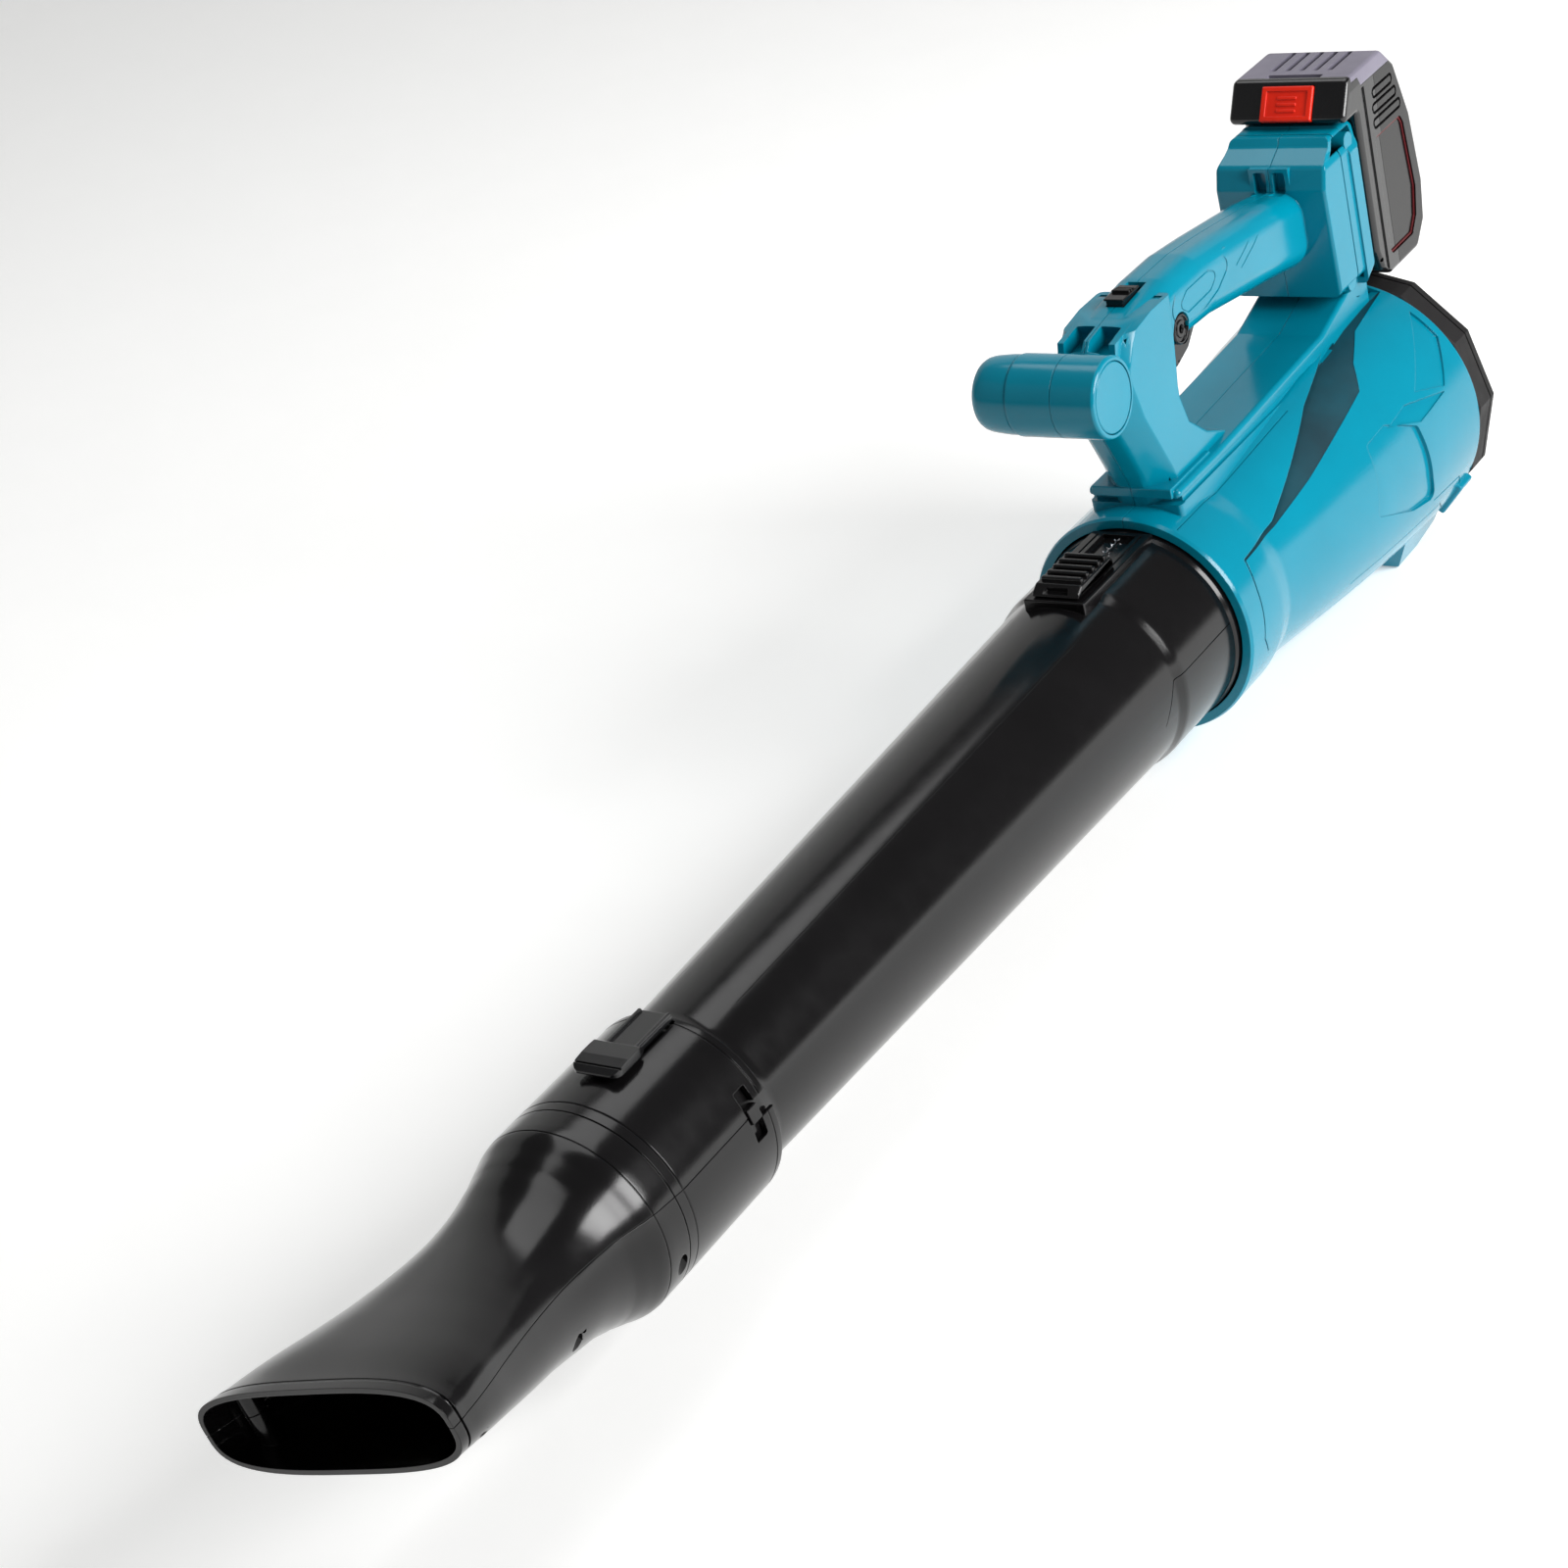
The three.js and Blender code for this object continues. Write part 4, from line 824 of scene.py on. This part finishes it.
class BLOWER_OT_knob(bpy.types.Operator):
    """Side knob with its rounded end, and the round cover at the far end of its boss"""

    bl_idname = "blower.knob"
    bl_label = "Side knob and cover"

    def execute(self, context):
        profile = [
            (3.3, -25.3), (19.4, -25.3), (19.8, -25.9), (19.7, -31), (19.2, -37), (18.8, -40.4), (18.1, -43),
            (16.8, -45.2), (14.6, -46.8), (11.6, -47.7), (7, -48), (0, -48), (0, -36), (3.3, -36),
        ]
        knob = turned(profile, 96, "X", KNOB)
        placed(knob, "side_knob_grip", "blower", "body_plastic", teal(), "side_knob")
        cover = turned([
            (0, 22.3), (17.3, 22.3), (17.5, 22.6), (17.5, 23.4), (17.0, 23.9), (16.2, 24), (14.6, 23.75),
            (0, 23.75),
        ], 96, "X", KNOB)
        placed(cover, "side_knob_cover", "blower", "body_plastic", teal(), "side_knob_cap")
        return {"FINISHED"}


class BLOWER_OT_intake(bpy.types.Operator):
    """Twelve-sided ring round the air intake"""

    bl_idname = "blower.intake"
    bl_label = "Intake ring"

    def execute(self, context):
        ring = turned([
            (66, RING_FRONT), (75.2, RING_FRONT), (76, RING_FRONT + 0.8), (76, 281.4), (75.4, 282.6),
            (72.6, 285.6), (71.4, 286), (68.6, 286), (67, 284.4), (66, 281),
        ], 12)
        grooves = turned([(75, 276.4), (80, 276), (80, 278), (75, 277.6)], 12)
        placed(combined(ring, cut(grooves)), "intake_rim", "blower", "dark_plastic", dark(), "intake_ring")
        return {"FINISHED"}


class BLOWER_OT_controls(bpy.types.Operator):
    """Trigger with its round thumb disc, and the slider that locks it on"""

    bl_idname = "blower.controls"
    bl_label = "Trigger and lock slider"

    def execute(self, context):
        outline = rounded([
            (57, 127), (61, 116), (68, 112.5), (82, 117), (93, 126), (96, 136), (92, 142.5), (60, 142.5),
            (56.5, 138),
        ], 2.5)
        trigger = prism(outline, -7.6, 7.6, edge=1.8, steps=4)
        c_groove = combined(
            turned([(5.2, 6.9), (6.5, 6.9), (6.5, 9), (5.2, 9)], 48, "X", THUMB_DISC),
            cut(block(0, 20, 60, THUMB_DISC[0], 124, 131)),
        )
        dish = turned([(0, 7.0), (2.4, 7.0), (2.9, 9), (0, 9)], 32, "X", THUMB_DISC)
        ribs = [block(-9, 9, 60 + 4.4 * i, 61.4 + 4.4 * i, 108, 114.6 + 0.5 * i) for i in range(4)]
        trigger = combined(
            trigger, cut(rod((-12, *PIVOT), (12, *PIVOT), 1.8, 24)),
            cut(both(c_groove, dish)), cut(ribs),
        )
        placed(trigger, "trigger_lever", "trigger", "black_plastic", black(), "trigger")
        for side in (1, -1):
            hub = turned([
                (1.9, 9.2), (7.6, 9.2), (7.9, 9.6), (7.9, 16.6), (7.3, 17.4), (6.6, 17.4), (6.2, 16.5),
                (4.6, 16.5), (4.2, 17.2), (2.4, 17.2), (2.0, 16.4), (1.9, 16.4),
            ], 64, "X", PIVOT)
            gap = block(15.4, 20, PIVOT[0] + 3, PIVOT[0] + 9, PIVOT[1] - 1.6, PIVOT[1] + 1.6, 0.5)
            hub = combined(hub, cut(gap))
            hub = hub if side > 0 else mirrored(hub)
            name = "trigger_hub_left" if side > 0 else "trigger_hub_right"
            placed(hub, name, "trigger", "black_plastic", black())
        ribs = [block(-5, 5, 38.2 + 2.4 * i, 39.6 + 2.4 * i, 165.5, 167.5 - 0.35 * i, 0.4) for i in range(3)]
        slider = combined(
            block(-7, 7, 29, 48, 156.5, 158.3), join(block(-4.7, 4.7, 31, 47, 157.9, 165.5, 0.4)),
            join(block(-5.6, 5.6, 30.4, 48, 164.9, 166.1, 0.45, 3)), join(ribs),
        )
        placed(slider, "lock_slider_cap", "lock_slider", "black_plastic", black(), "lock_slider")
        return {"FINISHED"}


def button_place():
    """Turns a piece drawn flat in (across, up the slope, outwards) onto the sloping front of the pack."""
    outward = Vector((0, -math.cos(BUTTON_LEAN), math.sin(BUTTON_LEAN)))
    upward = Vector((0, math.sin(BUTTON_LEAN), math.cos(BUTTON_LEAN)))
    turn = Matrix((Vector((1, 0, 0)), upward, outward)).transposed().to_4x4()
    return Matrix.Translation(BUTTON_MIDDLE) @ turn


def pack_outside():
    """Both shells of the battery pack in one, hollow, with the channel for the rail."""
    hollow = [
        (260.4, 170), (260.4, PACK_TOP - 2.4), (289, PACK_TOP - 2.4), (301, 182.6), (311.6, 151.6),
        (315.6, 112), (311.6, 91), (301, 80.4), (260.4, 80.4),
    ]
    side = rounded([
        (233, 174.7, 3.4), (247, PACK_TOP, 4), (290, PACK_TOP, 5), (303, 184, 5), (314, 152, 9),
        (318, 112, 9), (314, 90, 6), (302, 78, 6), (266, 78, 5), (256, 84, 4), (252, 96, 5),
        (252, 174.7, 0.8),
    ], 3, 6)
    outer = prism(side, -PACK_HALF, PACK_HALF, edge=3, steps=5)
    face = rounded([
        (-PACK_HALF, 76), (PACK_HALF, 76), (PACK_HALF, 189, 7), (33, 197, 3), (-33, 197, 3),
        (-PACK_HALF, 189, 7),
    ], 3)
    return combined(
        outer, keep(prism(face, 200, 330, "Y")),
        cut(prism(hollow, -31.6, 31.6)), cut(block(-20.4, 20.4, 251, 257.6, 76, 166.6)),
        cut(block(-12.3, 12.3, 257, 259.2, 110, 144)),
        cut(moved(block(-15.3, 15.3, -9.8, 9.8, -9, 4), button_place())),
    )


class BLOWER_OT_pack(bpy.types.Operator):
    """Battery pack: black shells with ribs and a panel, the grey slotted lid, and the red button"""

    bl_idname = "blower.pack"
    bl_label = "Battery pack"

    def execute(self, context):
        shell = pack_outside()
        back = copied(shell)
        lid = copied(shell)
        lid_zone = [(250.5, 192.6), (258, 192.6), (260, 187.6), (298, 187.6), (298, 204), (250.5, 204)]
        top = prism(lid_zone, -50, 50)
        lid_cut = prism(inset(rounded(lid_zone, 0.4), -0.12), -50, 50)
        slots = [block(x - 1.8, x + 1.8, 261, 289, 192, 204, 1.3) for x in (-16.5, -8.2, 0, 8.2, 16.5)]
        lid = combined(
            lid, keep(top), cut(slots),
            cut(block(-16, 16, 244, 255, 193.8, 204, 0.5)),
        )
        behind = block(-50, 50, PACK_PARTING - 0.15, 400, 0, 300)
        front = combined(shell, cut([behind, copied(lid_cut)]))
        ribs = []
        for z, start in ((178, 272), (170, 270), (162, 269)):
            end = 297 + (178 - z) * 0.4
            loop = rounded([(start, z - 2.5), (end, z - 2.5), (end, z + 2.5), (start, z + 2.5)], 2.4, 6)
            ribs.append(band(loop, -0.7, 0.9, 32.6, 36))
        panel = rounded([(268, 88), (297, 88), (304, 96), (308, 112), (304, 150), (301, 155), (268, 155)], 3)
        frame_strip = rounded([(258.6, 86), (262, 82), (263.4, 82), (263.4, 186), (258.6, 186)], 0.8)
        sides = ribs + [prism(panel, 32.5, 40)]
        back = combined(
            back, cut([block(-50, 50, 200, PACK_PARTING + 0.15, 0, 300), lid_cut]),
            cut(both(*[copied(each) for each in sides])),
        )
        front = combined(
            front, cut(both(*sides, prism(frame_strip, 33.2, 40))),
            cut(both(rod((30, 256, 90), (40, 256, 90), 1.2, 16))),
        )
        edging = band(panel, 0.25, 1.3, 32.35, 33.1)
        edging = combined(edging, join(mirrored(copied(edging))))
        placed(front, "pack_front_case", "battery", "pack_plastic", glossy(), "pack_front_shell")
        placed(back, "pack_back_case", "battery", "pack_plastic", black(), "pack_back_shell")
        placed(lid, "pack_lid", "battery", "pack_plastic", lilac())
        placed(edging, "pack_panel_edging", "battery", "pack_plastic", garnet())
        button = combined(
            block(-15, 15, -9.5, 9.5, -2.6, 1.6, 1.0, 4),
            cut(block(-12, 12, -6.8, 6.8, 0.9, 3, 0.3)),
            join([block(-5.5, 5.5, -4.6 + 3.4 * i, -3.0 + 3.4 * i, 0.5, 1.5, 0.3) for i in range(3)]),
        )
        placed(moved(button, button_place()), "pack_button_cap", "pack_button", "button_red", red(),
               "pack_release_button")
        return {"FINISHED"}


class BLOWER_OT_tube(bpy.types.Operator):
    """Long tapered tube with the track of its release slider, and the slider"""

    bl_idname = "blower.tube"
    bl_label = "Tube and release slider"

    def execute(self, context):
        tube = turned(TUBE_OUTSIDE + [(r - 2.4, y) for r, y in reversed(TUBE_OUTSIDE)])
        track = combined(
            block(-17, 17, -76, -1.5, 40, 54.5, 0.9, 3),
            cut(turned([(0, -80), (50.2, -80), (53, -50), (53, 2), (0, 2)])),
        )
        head, neck = [
            moved(block(low, high, LUG_Y - 3.5, LUG_Y + 3.5, -3.5, 3.5, edge), LUG_CLOCK)
            for low, high, edge in ((45.6, 48.3, 0.5), (42.9, 46.9, 0))
        ]
        line = wrapped(
            wall_line([(-4, 81), (-63, 81), (-76, 102)], 0.55), [(0.0, -0.9), (0.0, 4.0)], tube_radius,
        )
        seam = wrapped(wall_line([(-80, -26), (-400, -26)], 0.35), [(0.0, -0.25), (0.0, 4.0)], tube_radius)
        tube = combined(
            tube, join(track), cut(block(-9.3, 9.3, -70, -5, 52, 60)),
            cut(both(block(11.6, 12.8, -72, -5, 54, 60))),
            join(combined(head, join(neck))), cut(both(line, seam)),
        )
        placed(tube, "tube_shell", "tube", "tube_plastic", black(), "main_tube")
        side = rounded([(-74, 54.9), (-72.4, 57.4), (-68, 60), (-38, 60), (-36, 58), (-36, 54.9)], 0.8)
        slider = combined(
            block(-8.9, 8.9, -67, -42, 52.3, 55.5),
            join(prism(side, -13, 13, edge=1.0, steps=3)),
            join([block(-11.4, 11.4, -65.4 + 6 * i, -62.4 + 6 * i, 59, 62, 1.1, 4) for i in range(5)]),
            cut(prism(rounded([(-8, -75), (8, -75), (6, -69.6), (-6, -69.6)], 0.5), 56.6, 62, "Z")),
            cut(both(block(12.5, 14, -70, -39, 56.2, 57.2))),
        )
        placed(slider, "tube_slider_cap", "tube_slider", "black_plastic", black(), "tube_release_slider")
        return {"FINISHED"}


class BLOWER_OT_sleeve(bpy.types.Operator):
    """Coupling sleeve with its T slot, and the push latch in its window"""

    bl_idname = "blower.sleeve"
    bl_label = "Sleeve and latch"

    def execute(self, context):
        ring = turned([
            (44.6, -426), (46.4, -426), (47.0, -426.8), (SLEEVE_R, -428), (SLEEVE_R, -491.4),
            (46.8, SLEEVE_FRONT), (44.6, SLEEVE_FRONT),
        ])
        slot = [moved(part, LUG_CLOCK) for part in (
            block(40.2, 52.2, LUG_Y - 4, LUG_Y + 4, -12, 12, 0.8),
            block(40.2, 52.2, LUG_Y, LUG_Y + 20, -4.2, 4.2, 0.3),
            block(46.8, 50, SLEEVE_FRONT - 2, LUG_Y - 4, -0.3, 0.3),
        )]
        step = turned([(46.9, -430.4), (49, -430.4), (49, -431.2), (46.9, -431.2)])
        sleeve = combined(
            ring, cut([*slot, step, block(-8.8, 8.8, -466, -429, 40, 60)]),
        )
        placed(sleeve, "sleeve_shell", "sleeve", "tube_plastic", black(), "coupling_sleeve")
        side = rounded([
            (-476, 49.1), (-475.4, 51), (-472.6, 52.2), (-466, 53), (-457, 53), (-452, 49.1),
        ], 0.8)
        plan = rounded([(-12, -476, 5), (12, -476, 5), (12, -451, 8), (-12, -451, 8)], 5)
        pad = combined(prism(side, -12, 12), keep(prism(plan, 40, 60, "Z")))
        strip = block(-8.5, 8.5, -465.6, -429.4, 47.4, 50.2, 0.6, 3)
        latch = combined(
            strip, join(pad),
            join(both(block(6.4, 8.3, -464, -430, 49.2, 51.4, 0.7, 3))),
            cut(block(-14, 14, -472.4, -471.4, 51.5, 56)),
        )
        placed(latch, "latch_pad", "latch", "black_plastic", glossy(), "nozzle_latch")
        return {"FINISHED"}


def nozzle_rows():
    """Sections of the nozzle with smooth ones filled in between."""
    steps = 5
    rows = []
    for index in range(len(NOZZLE) - 1):
        near = [NOZZLE[max(0, min(len(NOZZLE) - 1, index + shift))] for shift in (-1, 0, 1, 2)]
        for step in range(steps):
            at = step / steps
            places, *sizes = zip(*near)
            row = [places[1] + (places[2] - places[1]) * at]
            for a, b, c, d in sizes:
                bend = (2 * a - 5 * b + 4 * c - d) * at ** 2 + (3 * b - a - 3 * c + d) * at ** 3
                row.append(0.5 * (2 * b + (c - a) * at + bend))
            rows.append(row)
    return rows + [list(NOZZLE[-1])]


def nozzle_section(row, thinner=0.0):
    """Ring of points of one section of the nozzle."""
    points = 128
    y, wide, tall, rise, power = row
    ring = []
    for index in range(points):
        angle = math.tau * index / points
        c, s = math.cos(angle), math.sin(angle)
        x = math.copysign(abs(c) ** (2 / power), c) * (wide - thinner)
        z = math.copysign(abs(s) ** (2 / power), s) * (tall - thinner) + rise
        ring.append((x, y, z))
    return ring


class BLOWER_OT_nozzle(bpy.types.Operator):
    """Flat flared nozzle in two halves, with screw pockets under the joint"""

    bl_idname = "blower.nozzle"
    bl_label = "Nozzle halves"

    def execute(self, context):
        rows = nozzle_rows()
        outer = skin([nozzle_section(row) for row in rows])
        bore = [row for row in rows if row[0] < -516]
        mouth = list(NOZZLE[-1])
        inner = skin(
            [nozzle_section((y, 39.4, 39.4, 0, 2)) for y in (-472, -514)]
            + [nozzle_section(row, 2.4 if row[0] < -526 else 2.6) for row in bore]
            + [nozzle_section([mouth[0] - 2, *mouth[1:]], 2.4)]
        )
        spigot = turned([
            (39, SLEEVE_FRONT - 1), (44.2, SLEEVE_FRONT - 1), (44.2, -482.4), (39, -482.4),
        ])
        lip = combined(
            skin([nozzle_section((y, 71.5, 20, MOUTH_RISE, 3.2)) for y in (-658.2, -656.8)]),
            cut(skin([nozzle_section((y, 69.2, 19.5, MOUTH_RISE, 3.2)) for y in (-662, -650)])),
        )
        rise = math.atan2(MOUTH_RISE, SLEEVE_FRONT - MOUTH_Y)

        def parting(y):
            return max(0.0, (SLEEVE_FRONT - y) * MOUTH_RISE / (SLEEVE_FRONT - MOUTH_Y))

        bosses = [
            combined(
                rod((x, y, parting(y) - 34), (x, y, parting(y) + 10), 4.8, 24), keep(copied(outer)),
            )
            for x, y in NOZZLE_SCREWS
        ]
        rings = [turned([(46.7, y), (50, y), (50, y - 0.7), (46.7, y - 0.7)]) for y in (-497.4, -511.4)]
        whole = combined(
            outer, join(spigot), cut(inner), join(bosses), cut(rings),
            cut(lip),
        )
        for x, y in NOZZLE_SCREWS:
            whole = combined(
                whole,
                cut(rod((x, y, parting(y) - 40), (x, y, parting(y) + 7), 1.7, 20)),
                cut(rod((x, y, parting(y) - 60), (x, y, parting(y) - 7), 3.3, 28)),
            )
        for above in (True, False):
            z0, z1 = (-200, 0.15) if above else (-0.15, 200)
            cutter = moved(
                block(-150, 150, -300, 100, z0, z1),
                Matrix.Translation((0, SLEEVE_FRONT, 0)) @ Matrix.Rotation(-rise, 4, "X"),
            )
            half = combined(copied(whole), cut(cutter))
            name = "nozzle_upper" if above else "nozzle_lower"
            placed(moved(half, LUG_CLOCK), name + "_shell", "nozzle", "tube_plastic", black(), name)
        removed(whole)
        return {"FINISHED"}


class BLOWER_OT_finishes(bpy.types.Operator):
    """Finishes of the pieces that keep their engineering shape, such as fan, motor, screws and wiring"""

    bl_idname = "blower.finishes"
    bl_label = "Finishes of the inner pieces"

    def execute(self, context):
        steel = metal("turned steel", "B9BBC0", 0.3)
        zinc = metal("zinc-plated screw steel", "A9ABB0", 0.34, 0.6)
        by_slot = {
            "body_plastic": teal(), "tube_plastic": black(), "black_plastic": black(), "dark_plastic": dark(),
            "pack_plastic": glossy(), "button_red": red(), "motor_steel": steel, "rotor_steel": steel,
            "screw_steel": zinc, "contact_brass": metal("drawn brass", "C9A24A", 0.3),
            "board_green": finish("glass-fibre circuit board", "1F6B3A", 0.45, 0.4, 0.03, 0.2),
            "lead_red": finish("red PVC insulation", "A31515", 0.42, 0.6, 0.02, 0.15, round_edge=0.2),
            "lead_black": finish("black PVC insulation", "141416", 0.42, 0.6, 0.02, 0.2, round_edge=0.2),
            "seal_rubber": finish("nitrile rubber", "111113", 0.75, 0.5, 0.05, 0.3, round_edge=0.3),
            "cell_wrap": finish("shrink-wrapped cell film", "2D6FB5", 0.36, 0.9, 0.02, 0.1, round_edge=0.3),
        }
        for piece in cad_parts.values():
            for place in piece.material_slots:
                known = [slot for slot in by_slot if place.material and place.material.name.startswith(slot)]
                place.material = by_slot[known[0]] if known else steel
            if not piece.material_slots:
                piece.data.materials.append(steel)
        return {"FINISHED"}


class BLOWER_OT_stage(bpy.types.Operator):
    """Pale floor that curves up behind the blower, soft studio lights and the camera"""

    bl_idname = "blower.stage"
    bl_label = "Floor, lights and camera"

    def execute(self, context):
        scene = context.scene
        looks = scene.blower_looks
        maker = bmesh.new()
        rows = [
            [maker.verts.new((x, y, z)) for x in (-9, 9)]
            for y, z in ((-6, 0), (4, 0), (5.2, 0.25), (6.1, 0.95), (6.5, 2.2), (6.5, 6))
        ]
        for low, high in zip(rows, rows[1:]):
            maker.faces.new((low[0], low[1], high[1], high[0]))
        bmesh.ops.bevel(
            maker, geom=[each for each in maker.edges if len(each.link_faces) == 2], offset=0.3, segments=6,
            profile=0.5, affect="EDGES", material=-1,
        )
        mesh = bpy.data.meshes.new("floor")
        bmesh.ops.recalc_face_normals(maker, faces=maker.faces[:])
        maker.to_mesh(mesh)
        maker.free()
        mesh.shade_smooth()
        floor = bpy.data.objects.new("floor", mesh)
        floor.rotation_euler = (0, 0, math.radians(40))
        scene.collection.objects.link(floor)
        paper = finish("pale studio paper", "F6F6F5", 0.85, 1.5, 0.02, 0.02, round_edge=0.0, glow=0.35)
        mesh.materials.append(paper)
        middle = Vector((0, -0.2, 0.12))
        for name, way, far, wide, power in (
            ("key", (1.0, 0.05, 0.5), 2.0, 1.1, looks.key_power),
            ("top", (-0.15, 0.25, 1.0), 2.1, 1.5, looks.key_power * 0.3),
            ("fill", (-0.75, -0.7, 0.5), 2.8, 1.8, looks.fill_power),
            ("front", (0.3, -1.0, 0.55), 3.2, 1.4, looks.fill_power * 0.8),
        ):
            lamp = bpy.data.lights.new(name, "AREA")
            lamp.shape = "SQUARE"
            lamp.size = wide
            lamp.energy = power
            made = bpy.data.objects.new(name, lamp)
            made.location = middle + Vector(way).normalized() * far
            made.rotation_euler = (middle - made.location).to_track_quat("-Z", "Y").to_euler()
            scene.collection.objects.link(made)
        world = bpy.data.worlds.new("studio")
        world.use_nodes = True
        world.node_tree.nodes["Background"].inputs["Color"].default_value = colour("FFFFFF")
        world.node_tree.nodes["Background"].inputs["Strength"].default_value = looks.room_light
        scene.world = world
        lens = bpy.data.cameras.new("camera")
        lens.lens = 78.75
        lens.sensor_width = 36
        lens.clip_start = 0.01
        camera = bpy.data.objects.new("camera", lens)
        across = Vector((0.8248, 0.5216, -0.2182))
        upward = Vector((-0.093, 0.5058, 0.8576))
        toward = Vector((0.5577, -0.6871, 0.4657))
        turn = Matrix((across, upward, toward)).transposed().to_4x4()
        camera.matrix_world = Matrix.Translation((0.8276, -1.5614, 0.8602)) @ turn
        scene.collection.objects.link(camera)
        scene.camera = camera
        scene.view_settings.view_transform = "Standard"
        return {"FINISHED"}


# ---------------------------------------------------------------- settings and panel
class BlowerShapes(bpy.types.PropertyGroup):
    """Sizes that a user may change"""

    seam: FloatProperty(
        name="Seam", description="Gap between the housing halves, in millimetres", default=0.36, min=0.1,
        max=0.8,
    )


class BlowerLooks(bpy.types.PropertyGroup):
    """Colours, gloss and lights that a user may change"""

    body_tone: StringProperty(
        name="Body colour", description="sRGB code of the housing", default="007E96",
    )
    tube_tone: StringProperty(
        name="Tube colour", description="sRGB code of the tube and the nozzle", default="0F0E0F",
    )
    body_gloss: FloatProperty(
        name="Body roughness", description="Roughness of the housing", default=0.15, min=0, max=1,
        subtype="FACTOR",
    )
    tube_gloss: FloatProperty(
        name="Tube roughness", description="Roughness of the tube", default=0.15, min=0, max=1,
        subtype="FACTOR",
    )
    key_power: FloatProperty(
        name="Key light", description="Power of the main light", default=58, min=0, unit="POWER",
    )
    fill_power: FloatProperty(
        name="Fill light", description="Power of the weak lights", default=1.2, min=0, unit="POWER",
    )
    room_light: FloatProperty(
        name="Room light", description="Strength of the even light from the room", default=0.15, min=0,
    )


PIECES = (
    BLOWER_OT_finishes, BLOWER_OT_housing, BLOWER_OT_knob, BLOWER_OT_intake, BLOWER_OT_controls,
    BLOWER_OT_pack, BLOWER_OT_tube, BLOWER_OT_sleeve, BLOWER_OT_nozzle, BLOWER_OT_stage,
)


class BLOWER_PT_panel(bpy.types.Panel):
    """Sidebar panel that lists the pieces"""

    bl_label = "Leaf Blower"
    bl_space_type = "VIEW_3D"
    bl_region_type = "UI"
    bl_category = "Leaf Blower"

    def draw(self, context):
        for group in (context.scene.blower_shapes, context.scene.blower_looks):
            for name in group.__annotations__:
                self.layout.prop(group, name)
        for piece in PIECES:
            self.layout.operator(piece.bl_idname)


CLASSES = (BlowerShapes, BlowerLooks, *PIECES, BLOWER_PT_panel)


def register():
    for each in CLASSES:
        bpy.utils.register_class(each)
    bpy.types.Scene.blower_shapes = PointerProperty(type=BlowerShapes)
    bpy.types.Scene.blower_looks = PointerProperty(type=BlowerLooks)


def unregister():
    del bpy.types.Scene.blower_looks
    del bpy.types.Scene.blower_shapes
    for each in reversed(CLASSES):
        bpy.utils.unregister_class(each)


def main():
    register()
    for piece in PIECES:
        group, name = piece.bl_idname.split(".")
        getattr(getattr(bpy.ops, group), name)()


if __name__ == "__main__":
    main()
